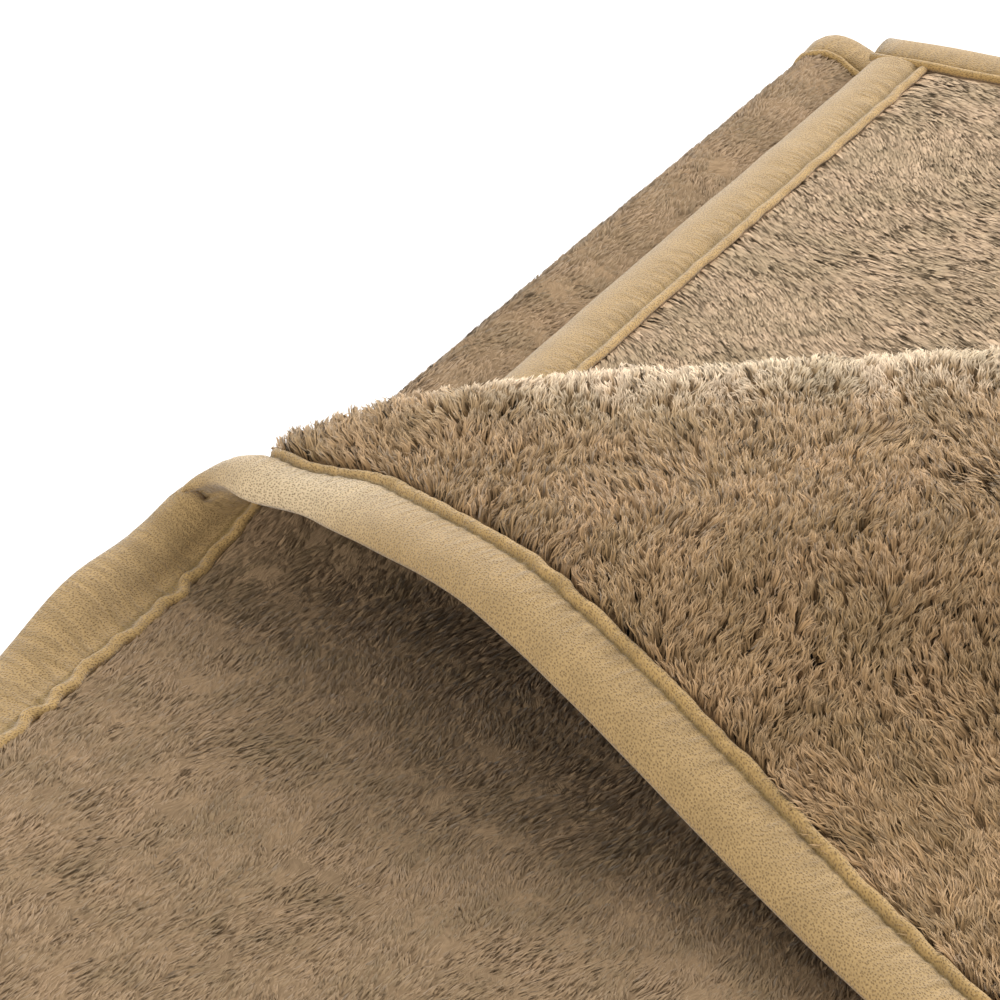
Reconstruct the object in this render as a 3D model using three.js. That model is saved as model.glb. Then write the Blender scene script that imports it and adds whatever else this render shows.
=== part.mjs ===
// A pile fleece blanket, bound all round with knitted tape, folded to and fro in four layers.
// One corner of the top layer is turned over in a loose roll and lies back on the layer with its long pile up.
// Millimetres, +Z up. The origin is on the surface it rests on, under the middle of the folded pack.
import * as THREE from "three";

// The cloth, with the pile of both its sides counted in its thickness.
const CLOTH_THICKNESS = 3.6;
const LAYER_PITCH = 4.4; // from the middle of one layer to the middle of the next
const CLOTH_WIDTH = 340; // along the folds, from the front edge to the back edge
const FRONT_Y = -96; // the front edge, before the pack is centred
const HALF = CLOTH_THICKNESS / 2;

// The knitted tape folded over every edge, and the cloth pressed flat inside it.
const TAPE_WIDTH = 10;
const TAPE_THICKNESS = 0.85;
const TAPE_GAP = 0.3; // between the tape and the cloth in it
const PRESSED_HALF = 0.65; // half the thickness of the cloth inside the tape
const TAPER = 1.5; // the pile rises to its full height over this distance from the tape

// Where the layers lie across the pack, from the fold that shows beside the bound edge of the second layer.
const LOWER_EDGE_X = 14.5; // the bound edge of the layer under the top one
const INNER_FOLD_X = 92; // the hidden fold between that layer and the next
const SHOULDER_X = 3; // the middle of the plump fold at the left
const SHOULDER_RADIUS = 3.8; // of the middle of the cloth in that fold
const SHOULDER_FOOT_X = 13.5; // the third layer lies flat from here on
const OUTER_FOLD_X = 405; // the middle of the fold at the right
const BOTTOM_Z = HALF;
const THIRD_Z = BOTTOM_Z + LAYER_PITCH;
const SECOND_Z = THIRD_Z + LAYER_PITCH;
const TOP_Z = SECOND_Z + LAYER_PITCH;

// The top layer comes down onto the bottom one where the layers between them have ended.
const SAG_START_X = 112;
const SAG_END_X = 240;

// The corner of the top layer is turned over a line at this angle to the folds.
const TURN_ANGLE = THREE.MathUtils.degToRad(58.24);

// The slope of the cloth, in degrees, at distances past the line where it lifts off.
const ROLL = [
  { past: -7, slope: 0 },
  { past: 0, slope: 16 },
  { past: 6, slope: 34 },
  { past: 13.3, slope: 51 },
  { past: 20, slope: 65 },
  { past: 26.7, slope: 87 },
  { past: 33.3, slope: 142 },
  { past: 41.7, slope: 207 },
  { past: 50, slope: 187 },
  { past: 61, slope: 177 },
  { past: 75, slope: 177 },
  { past: 91.7, slope: 195 },
  { past: 111, slope: 200 },
  { past: 130.6, slope: 199 },
  { past: 150, slope: 187 },
  { past: 183, slope: 180 },
];
const ROLL_STEP = 0.25; // the slope is summed up in steps of this length
const ROLL_END = 230; // past the far corner of the cloth

// The open end of the roll sinks towards the bound edge.
const DROOP = { depth: 50, reach: 18.6, fullHeight: 27.8 };
// The bound edge curls up where the roll begins.
const CURL = { height: 8.2, width: 4.9, centre: 9.4, spread: 28, most: 1.2 };
// The roll bends a little in plan.
const BEND = { shift: -1.3, reach: 111, past: 33 };
// Soft unevenness of the pack, none at the surface it rests on.
const WAVE = { height: 0.8, lengthX: 96, lengthY: 118 };

const FACET_TURN = THREE.MathUtils.degToRad(13); // of the roll from one line of vertices to the next
const FACET_LENGTH = 13;
const CURL_LINES = [-58, -44, -32, -22, -13]; // lines of vertices before the roll, near the bound edge
const CURL_LINES_REACH = 40;
const FLAT_SPACING = 32;
const TOP_SPACING = 22;
const EDGE_COLUMNS = [15, 19, 25, 33, 45, 60]; // columns of vertices near the bound edge of the top layer
const COLUMN_CLEARANCE = 3; // from those columns to the first one at a line of the roll
const LEAST_STEP = 2.5; // between a line of the roll and the margin
const PROBE = 0.05; // half the step over which the cloth's direction is read

const clamp = THREE.MathUtils.clamp;
const smooth = (t) => THREE.MathUtils.smoothstep(t, 0, 1);
const radians = THREE.MathUtils.degToRad;

// The four layers but the top one, as a path across the pack: straight runs, eased steps and arcs.
// turn is in degrees, counted positive from +X to +Z, and rise is the change of height of an eased step.
const SHOULDER_TOP_Z = BOTTOM_Z + 2 * SHOULDER_RADIUS;
const SECTION = [
  { part: "second layer", run: INNER_FOLD_X - LOWER_EDGE_X, pieces: 4 },
  { part: "inner fold", radius: LAYER_PITCH / 2, turn: -180, pieces: 8 },
  { part: "third layer", run: INNER_FOLD_X - SHOULDER_FOOT_X, pieces: 3 },
  {
    part: "rise to the shoulder",
    run: SHOULDER_FOOT_X - SHOULDER_X,
    rise: SHOULDER_TOP_Z - THIRD_Z,
    pieces: 5,
  },
  { part: "shoulder", radius: SHOULDER_RADIUS, turn: 180, pieces: 10 },
  { part: "bottom layer", run: OUTER_FOLD_X - SHOULDER_X, pieces: 11 },
  { part: "outer fold", radius: LAYER_PITCH / 2, turn: 180, pieces: 8 },
];

// Follows the path and returns its pieces, each with its start and its length.
function layPath(rows) {
  let x = LOWER_EDGE_X;
  let z = SECOND_Z;
  let heading = 0;
  let start = 0;
  return rows.map((row) => {
    const length = row.radius
      ? row.radius * Math.abs(radians(row.turn))
      : row.run;
    const laid = { ...row, x, z, heading, start, length };
    [x, z, heading] = pointOn(laid, length);
    start += length;
    return laid;
  });
}

function pointOn(laid, along) {
  const { x, z, heading, radius, turn, rise, length } = laid;
  if (radius) {
    const side = Math.sign(turn);
    const swung = (side * along) / radius;
    return [
      x + side * radius * (Math.sin(heading + swung) - Math.sin(heading)),
      z - side * radius * (Math.cos(heading + swung) - Math.cos(heading)),
      heading + swung,
    ];
  }
  const lifted = rise ? rise * smooth(along / length) : 0;
  return [x + along * Math.cos(heading), z + lifted, heading];
}

const PATH = layPath(SECTION);
const PATH_END = PATH.at(-1).start + PATH.at(-1).length;
const TOP_LENGTH = OUTER_FOLD_X; // of the top layer, from its bound edge to the outer fold
const CLOTH_LENGTH = PATH_END + TOP_LENGTH;

function lowerLayers(u) {
  const laid = PATH.findLast((piece) => u >= piece.start) ?? PATH[0];
  return pointOn(laid, u - laid.start);
}

// The roll in section: how far it reaches and how high it stands at each distance past its line.
function slopeAt(past) {
  const next = ROLL.findIndex((row) => row.past > past);
  if (next < 0) return radians(ROLL.at(-1).slope);
  if (next === 0) return 0;
  const [a, b] = [ROLL[next - 1], ROLL[next]];
  const share = (past - a.past) / (b.past - a.past);
  return radians(a.slope + share * (b.slope - a.slope));
}

function sumRoll() {
  const rows = [{ reach: ROLL[0].past, height: 0 }];
  for (let past = ROLL[0].past; past < ROLL_END; past += ROLL_STEP) {
    const slope = slopeAt(past + ROLL_STEP / 2);
    const { reach, height } = rows.at(-1);
    rows.push({
      reach: reach + ROLL_STEP * Math.cos(slope),
      height: height + ROLL_STEP * Math.sin(slope),
    });
  }
  return rows;
}

const ROLL_SUM = sumRoll();

function rollAt(past) {
  if (past <= ROLL[0].past) return { reach: past, height: 0 };
  const place = (past - ROLL[0].past) / ROLL_STEP;
  const low = Math.min(Math.floor(place), ROLL_SUM.length - 2);
  const share = place - low;
  const [a, b] = [ROLL_SUM[low], ROLL_SUM[low + 1]];
  return {
    reach: a.reach + share * (b.reach - a.reach),
    height: a.height + share * (b.height - a.height),
  };
}

// The middle of the top layer at a place on the flat cloth, x from its bound edge and y along the fold.
function topLayer(x, y) {
  const sin = Math.sin(TURN_ANGLE);
  const cos = Math.cos(TURN_ANGLE);
  const along = x * sin + y * cos;
  const past = y * sin - x * cos;
  const { reach, height } = rollAt(past);
  const bent =
    BEND.shift *
    clamp(along / BEND.reach, 0, 1) ** 2 *
    clamp(past / BEND.past, 0, 1);
  const droop =
    DROOP.depth *
    Math.exp(-Math.max(along, 0) / DROOP.reach) *
    clamp(height / DROOP.fullHeight, 0, 1);
  const curl =
    CURL.height *
    Math.exp(-(((past - CURL.centre) / CURL.spread) ** 2)) *
    clamp((CURL.width - x) / CURL.width, 0, CURL.most) ** 2;
  const px = along * sin - (reach + bent) * cos;
  const sag = smooth((px - SAG_START_X) / (SAG_END_X - SAG_START_X));
  return new THREE.Vector3(
    px,
    along * cos + (reach + bent) * sin,
    TOP_Z - sag * 2 * LAYER_PITCH + height - droop + curl,
  );
}

// The middle of the cloth: u runs along its length through all the layers, v across it from the front edge.
function clothPoint(u, v) {
  const y = FRONT_Y + v;
  let point;
  if (u < PATH_END) {
    const [x, z] = lowerLayers(u);
    point = new THREE.Vector3(x, y, z);
  } else {
    point = topLayer(CLOTH_LENGTH - u, y);
  }
  const wave =
    2 +
    Math.sin((2 * Math.PI * point.x) / WAVE.lengthX) +
    Math.sin((2 * Math.PI * point.y) / WAVE.lengthY);
  const share = smooth((point.z - BOTTOM_Z) / (TOP_Z - BOTTOM_Z));
  point.z += (WAVE.height / 4) * wave * share;
  return point;
}

// The direction out of the short-pile side, which is up on the top layer.
function clothNormal(u, v) {
  const du = clothPoint(u + PROBE, v).sub(clothPoint(u - PROBE, v));
  const dv = clothPoint(u, v + PROBE).sub(clothPoint(u, v - PROBE));
  return dv.cross(du).normalize();
}

function offsetPoint(u, v, off) {
  return clothPoint(u, v).addScaledVector(clothNormal(u, v), off);
}

// Half the thickness of the cloth: pressed in the tape, full beyond it.
function halfThickness(u, v) {
  const edge = Math.min(u, CLOTH_LENGTH - u, v, CLOTH_WIDTH - v);
  const rise = clamp((edge - TAPE_WIDTH - TAPE_GAP) / TAPER, 0, 1);
  return PRESSED_HALF + (HALF - PRESSED_HALF) * rise;
}

// Distances from an edge at which the cloth in and beside the tape has its vertices.
const MARGIN = [
  0,
  TAPE_WIDTH / 2,
  TAPE_WIDTH + TAPE_GAP,
  TAPE_WIDTH + TAPE_GAP + TAPER,
];
const CURLED_MARGIN = [0, CURL.width / 2, CURL.width, MARGIN[2], MARGIN[3]]; // at the end that curls up
const INNER = MARGIN.at(-1);

// Even steps between two numbers, without the first.
function steps(from, to, spacing) {
  const count = Math.max(1, Math.round((to - from) / spacing));
  return Array.from(
    { length: count },
    (_, i) => from + ((i + 1) * (to - from)) / count,
  );
}

// Distances past the turning line at which the roll has a line of vertices.
function rollLines() {
  const lines = [ROLL[0].past];
  let turned = 0;
  for (let past = ROLL[0].past; past < ROLL_END; past += ROLL_STEP) {
    turned += Math.abs(slopeAt(past + ROLL_STEP) - slopeAt(past));
    if (turned > FACET_TURN || past - lines.at(-1) > FACET_LENGTH) {
      lines.push(past);
      turned = 0;
    }
  }
  return lines;
}

const LINES = rollLines();

// Where the roll's lines cross a column of the top layer.
function crossings(x) {
  const sin = Math.sin(TURN_ANGLE);
  const cos = Math.cos(TURN_ANGLE);
  const lines = x < CURL_LINES_REACH ? [...CURL_LINES, ...LINES] : LINES;
  return lines.map((past) => (past + x * cos) / sin - FRONT_Y);
}

// The vertices of one column, from the front edge to the back edge.
function column(u, x) {
  const low = INNER;
  const high = CLOTH_WIDTH - INNER;
  const inner =
    x === undefined
      ? []
      : crossings(x).filter(
          (v) => v > low + LEAST_STEP && v < high - LEAST_STEP,
        );
  const bounds = [low, ...inner, high];
  const rows = [low];
  for (let i = 1; i < bounds.length; i++)
    rows.push(...steps(bounds[i - 1], bounds[i], FLAT_SPACING));
  return {
    u,
    skew: x === undefined ? 0 : x / Math.tan(TURN_ANGLE),
    rows: [
      ...MARGIN.slice(0, -1),
      ...rows,
      ...MARGIN.slice(0, -1)
        .reverse()
        .map((d) => CLOTH_WIDTH - d),
    ],
  };
}

function allColumns() {
  const places = new Set(MARGIN);
  for (const laid of PATH) {
    const from = Math.max(laid.start, INNER);
    const to = laid.start + laid.length;
    if (laid === PATH[0]) steps(from, to, (to - from) / laid.pieces).forEach((u) => places.add(u));
    else steps(laid.start, to, laid.length / laid.pieces).forEach((u) => places.add(u));
  }
  const columns = [...places].map((u) => column(u));
  const backY = FRONT_Y + CLOTH_WIDTH;
  const sin = Math.sin(TURN_ANGLE);
  const cos = Math.cos(TURN_ANGLE);
  const atBack = LINES.map((past) => (backY * sin - past) / cos).filter(
    (x) =>
      x > EDGE_COLUMNS.at(-1) + COLUMN_CLEARANCE &&
      x < TOP_LENGTH - COLUMN_CLEARANCE,
  );
  const free = [...EDGE_COLUMNS, ...atBack, TOP_LENGTH].sort((a, b) => b - a);
  for (let i = 1; i < free.length; i++) {
    for (const x of steps(-free[i - 1], -free[i], TOP_SPACING))
      columns.push(column(CLOTH_LENGTH + x, -x));
  }
  const taped = column(0, TAPE_WIDTH / 2).rows;
  columns.push(column(CLOTH_LENGTH - INNER, INNER));
  for (const d of CURLED_MARGIN.slice(0, -1).reverse())
    columns.push({ u: CLOTH_LENGTH - d, skew: 0, rows: taped });
  return columns;
}

// Joins the vertices of two neighbouring columns with triangles, taking the next vertex that lies lower.
function zip(left, right, firstLeft, firstRight, add) {
  const fixed = MARGIN.length - 1;
  const segments = [];
  for (let i = 0; i < fixed; i++) segments.push([i, i + 1, i, i + 1]);
  segments.push([
    fixed,
    left.rows.length - 1 - fixed,
    fixed,
    right.rows.length - 1 - fixed,
  ]);
  for (let i = fixed; i > 0; i--)
    segments.push([
      left.rows.length - 1 - i,
      left.rows.length - i,
      right.rows.length - 1 - i,
      right.rows.length - i,
    ]);
  for (const [l0, l1, r0, r1] of segments) {
    let l = l0;
    let r = r0;
    while (l < l1 || r < r1) {
      const nextLeft = l < l1 ? left.rows[l + 1] - left.skew : Infinity;
      const nextRight = r < r1 ? right.rows[r + 1] - right.skew : Infinity;
      if (nextLeft <= nextRight) {
        add(firstLeft + l, firstRight + r, firstLeft + l + 1);
        l++;
      } else {
        add(firstLeft + l, firstRight + r, firstRight + r + 1);
        r++;
      }
    }
  }
}

function meshOf(name, positions, triangles, look) {
  const geometry = new THREE.BufferGeometry();
  geometry.setAttribute(
    "position",
    new THREE.Float32BufferAttribute(positions, 3),
  );
  geometry.setIndex(triangles);
  geometry.computeVertexNormals();
  const mesh = new THREE.Mesh(geometry, new THREE.MeshStandardMaterial(look));
  mesh.name = name;
  return mesh;
}

// The cloth as one closed solid: its two faces and the rim round them.
function buildPanel() {
  const columns = allColumns();
  const flat = [];
  const first = columns.map((col) => {
    const start = flat.length;
    col.rows.forEach((v) => flat.push([col.u, v]));
    return start;
  });
  const faces = [];
  for (let i = 0; i + 1 < columns.length; i++)
    zip(columns[i], columns[i + 1], first[i], first[i + 1], (a, b, c) =>
      faces.push([a, b, c]),
    );
  const count = flat.length;
  const positions = [];
  for (const side of [1, -1])
    for (const [u, v] of flat)
      positions.push(...offsetPoint(u, v, side * halfThickness(u, v)));
  const triangles = [];
  for (const [a, b, c] of faces) {
    triangles.push(a, c, b);
    triangles.push(a + count, b + count, c + count);
  }
  const rim = rimOf(columns, first);
  for (let i = 0; i < rim.length; i++) {
    const a = rim[i];
    const b = rim[(i + 1) % rim.length];
    triangles.push(a, b + count, b);
    triangles.push(a, a + count, b + count);
  }
  return meshOf("fleece_panel", positions, triangles, {
    color: 0xa08563,
    roughness: 0.95,
    metalness: 0,
  });
}

// The vertices round the flat cloth, in order.
function rimOf(columns, first) {
  const last = columns.length - 1;
  const rim = [];
  columns[0].rows.forEach((_, r) => rim.push(first[0] + r));
  for (let i = 1; i <= last; i++)
    rim.push(first[i] + columns[i].rows.length - 1);
  for (let r = columns[last].rows.length - 2; r >= 0; r--)
    rim.push(first[last] + r);
  for (let i = last - 1; i > 0; i--) rim.push(first[i]);
  return rim;
}

// The tape in section: inward is the distance from the edge of the cloth, off the distance from its middle.
const TAPE_INSIDE = PRESSED_HALF + TAPE_GAP;
const TAPE_RIM = TAPE_GAP + TAPE_THICKNESS;
const RIM_SHOULDER = 0.92; // share of the tape's height at the edge of the cloth
const RIM_ROUND = { out: 0.8, height: 0.5 }; // a point of the rounded rim, as shares of its reach and height
const FLAT_TAPE = [TAPE_WIDTH];
const ROLLED_TAPE = [TAPE_WIDTH, TAPE_WIDTH / 2];
const CURLED_TAPE = [TAPE_WIDTH, CURL.width, CURL.width / 2];

// The outline of a tape whose faces have vertices at these distances from the edge of the cloth.
function tapeSection(distances) {
  const outer = distances.map((inward) => ({ inward, off: HALF }));
  const rim = [
    { inward: 0, off: RIM_SHOULDER * HALF },
    { inward: -RIM_ROUND.out * TAPE_RIM, off: RIM_ROUND.height * HALF },
    { inward: -TAPE_RIM, off: 0 },
  ];
  const inside = [...distances, -TAPE_GAP].map((inward) => ({
    inward,
    off: -TAPE_INSIDE,
  }));
  const mirrored = (rows) =>
    rows.map(({ inward, off }) => ({ inward, off: -off })).reverse();
  return [
    ...outer,
    ...rim,
    ...mirrored([...outer, ...rim.slice(0, -1)]),
    ...inside,
    ...mirrored(inside),
  ];
}

// One length of tape: place gives the flat cloth's u and v at a station and a distance inward.
// distances are those of its vertices from the edge, and slant says which way its faces are split, as in the
// cloth inside it.
function buildTape(name, stations, distances, slant, place) {
  const section = tapeSection(distances);
  const positions = [];
  for (const station of stations)
    for (const { inward, off } of section) {
      const [u, v] = place(station, inward);
      positions.push(...offsetPoint(u, v, off));
    }
  const ring = section.length;
  const triangles = [];
  for (let s = 0; s + 1 < stations.length; s++)
    for (let i = 0; i < ring; i++) {
      const next = (i + 1) % ring;
      const a = s * ring + i;
      const b = s * ring + next;
      const deeper = section[next].inward > section[i].inward;
      if (deeper === (slant === "outward"))
        triangles.push(a, b, a + ring, b, b + ring, a + ring);
      else triangles.push(a, b, b + ring, a, b + ring, a + ring);
    }
  const outline = section.map(
    ({ inward, off }) => new THREE.Vector2(inward, off),
  );
  const caps = THREE.ShapeUtils.triangulateShape(outline, []);
  const lastRing = (stations.length - 1) * ring;
  for (const [a, b, c] of caps) {
    triangles.push(a, c, b);
    triangles.push(lastRing + a, lastRing + b, lastRing + c);
  }
  return meshOf(name, positions, triangles, {
    color: 0xb99a69,
    roughness: 0.9,
    metalness: 0,
  });
}

// Turns a mesh's faces round if it came out inside out.
function facingOut(mesh) {
  const position = mesh.geometry.getAttribute("position");
  const index = mesh.geometry.getIndex();
  const corner = (i) =>
    new THREE.Vector3().fromBufferAttribute(position, index.getX(i));
  let volume = 0;
  for (let i = 0; i < index.count; i += 3)
    volume += corner(i).dot(corner(i + 1).cross(corner(i + 2)));
  if (volume < 0)
    for (let i = 0; i < index.count; i += 3) {
      const b = index.getX(i + 1);
      index.setX(i + 1, index.getX(i + 2));
      index.setX(i + 2, b);
    }
  mesh.geometry.computeVertexNormals();
  return mesh;
}

// Tapes along the front and back run the whole length; those along the two ends stop short of them.
function buildTapes() {
  const columns = allColumns();
  const lengthwise = columns.map((col) => col.u);
  const clear = TAPE_WIDTH + TAPE_GAP;
  const across = (rows) => [
    clear,
    ...rows.filter((v) => v > clear + 1 && v < CLOTH_WIDTH - clear - 1),
    CLOTH_WIDTH - clear,
  ];
  return [
    buildTape(
      "front_binding",
      lengthwise,
      FLAT_TAPE,
      "outward",
      (u, inward) => [u, inward],
    ),
    buildTape(
      "back_binding",
      lengthwise,
      ROLLED_TAPE,
      "inward",
      (u, inward) => [u, CLOTH_WIDTH - inward],
    ),
    buildTape(
      "lower_end_binding",
      across(columns[0].rows),
      FLAT_TAPE,
      "outward",
      (v, inward) => [inward, v],
    ),
    buildTape(
      "top_end_binding",
      across(columns.at(-1).rows),
      CURLED_TAPE,
      "inward",
      (v, inward) => [CLOTH_LENGTH - inward, v],
    ),
  ];
}

const blanket = new THREE.Group();
blanket.name = "fleece_blanket";
blanket.add(facingOut(buildPanel()));
for (const tape of buildTapes()) blanket.add(facingOut(tape));

const bounds = new THREE.Box3().setFromObject(blanket);
const centre = bounds.getCenter(new THREE.Vector3());
for (const mesh of blanket.children)
  mesh.geometry.translate(-centre.x, -centre.y, -bounds.min.z);

export default blanket;
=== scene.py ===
"""A pile fleece blanket bound with knitted tape, folded in four layers, one corner turned over in a roll.

Lengths inside the classes are millimetres in the cloth's own frame, and each mesh is placed in metres.
The cloth is described by its flat coordinates: u along its length through all the layers, v across it.
"""

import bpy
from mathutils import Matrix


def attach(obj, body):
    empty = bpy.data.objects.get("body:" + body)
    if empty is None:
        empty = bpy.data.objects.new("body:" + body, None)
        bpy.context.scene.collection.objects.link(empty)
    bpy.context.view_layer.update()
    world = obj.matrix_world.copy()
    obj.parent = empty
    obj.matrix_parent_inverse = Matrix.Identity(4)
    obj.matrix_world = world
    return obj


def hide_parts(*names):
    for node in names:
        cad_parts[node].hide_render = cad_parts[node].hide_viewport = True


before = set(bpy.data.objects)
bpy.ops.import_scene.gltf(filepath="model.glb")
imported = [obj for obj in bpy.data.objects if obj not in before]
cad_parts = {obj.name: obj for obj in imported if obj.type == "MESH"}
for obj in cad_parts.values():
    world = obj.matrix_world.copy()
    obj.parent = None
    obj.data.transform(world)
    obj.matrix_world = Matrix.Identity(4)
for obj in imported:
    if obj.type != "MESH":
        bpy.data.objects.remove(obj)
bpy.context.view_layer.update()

import logging
import math
from collections.abc import Callable
from dataclasses import dataclass, field
from enum import Enum

import bpy
import numpy as np
from mathutils import Matrix, Vector

Array = np.ndarray
Colour = tuple[float, float, float, float]
Socket = bpy.types.NodeSocket
Lay = Callable[[Array], tuple[Array, Array]]
Keep = Callable[[Array, Array, Array, Array], Array]
log = logging.getLogger("blanket")


def smoothstep(t: Array) -> Array:
    """Returns an eased step from 0 to 1 as t goes from 0 to 1."""
    t = np.clip(t, 0.0, 1.0)
    return t * t * (3.0 - 2.0 * t)


def bell(value: Array, middle: float, spread: float) -> Array:
    """Returns 1 where a value is at the middle, easing to 0 on both sides of it."""
    return np.exp(-(((value - middle) / spread) ** 2))


def unit(vectors: Array) -> Array:
    """Returns the vectors, one a row, at length 1."""
    return vectors / np.maximum(np.linalg.norm(vectors, axis=-1, keepdims=True), 1e-9)


@dataclass(frozen=True)
class Unevenness:
    """A soft random relief made of sine waves in many directions.

    Attributes:
        size: Typical wavelength in millimetres.
        seed: Seed of its directions and phases.
        waves: How many waves are summed.
    """

    size: float
    seed: int
    waves: int = 9

    def at(self, a: Array, b: Array) -> Array:
        """Reads the relief.

        Args:
            a: First coordinate in millimetres.
            b: Second coordinate in millimetres.

        Returns:
            Values of mean 0, mostly between -1 and 1.
        """
        rng = np.random.default_rng(self.seed)
        total = np.zeros(np.broadcast(a, b).shape)
        for _ in range(self.waves):
            turn = rng.uniform(0.0, 2.0 * math.pi)
            length = self.size * rng.uniform(0.65, 1.6)
            phase = rng.uniform(0.0, 2.0 * math.pi)
            reach = (a * math.cos(turn) + b * math.sin(turn)) / length
            total = total + np.sin(2.0 * math.pi * reach + phase)
        return total / math.sqrt(self.waves)


class Side(Enum):
    """The two faces of the cloth, with the sign of their direction from its middle."""

    SHORT_PILE = 1.0
    LONG_PILE = -1.0


class Nap(Enum):
    """The kinds of pile, with the names of their materials."""

    LONG = "long_pile"
    # The combed pile is the long pile combed flat; its lighter colours stand partly for that lay and partly
    # for painted light on the brightly lit lower layers.
    COMBED = "combed_pile"
    SHORT = "short_nap"


@dataclass(frozen=True)
class Run:
    """One straight run, eased step or arc of the folded section.

    Attributes:
        length: Along the cloth.
        radius: Of an arc, or 0.
        turn: Sign of an arc's turn, positive from +X to +Z.
        rise: Change of height of an eased step.
        x: Where it starts.
        z: Height at which it starts.
        heading: Direction in which it starts, in radians from +X.
        start: Its place along the cloth.
    """

    length: float
    radius: float = 0.0
    turn: float = 0.0
    rise: float = 0.0
    x: float = 0.0
    z: float = 0.0
    heading: float = 0.0
    start: float = 0.0

    def at(self, along: Array) -> tuple[Array, Array]:
        """Places points of this run.

        Args:
            along: Distances from its start.

        Returns:
            Their x and z.
        """
        if self.radius:
            swung = self.turn * along / self.radius
            x = self.x + self.turn * self.radius * (np.sin(self.heading + swung) - math.sin(self.heading))
            z = self.z - self.turn * self.radius * (np.cos(self.heading + swung) - math.cos(self.heading))
            return x, z
        lifted = self.rise * smoothstep(along / self.length) if self.rise else 0.0
        return self.x + along * math.cos(self.heading), self.z + lifted + 0.0 * along

    def end_heading(self) -> float:
        """Returns the direction in which it ends."""
        return self.heading + (self.turn * self.length / self.radius if self.radius else 0.0)


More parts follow.
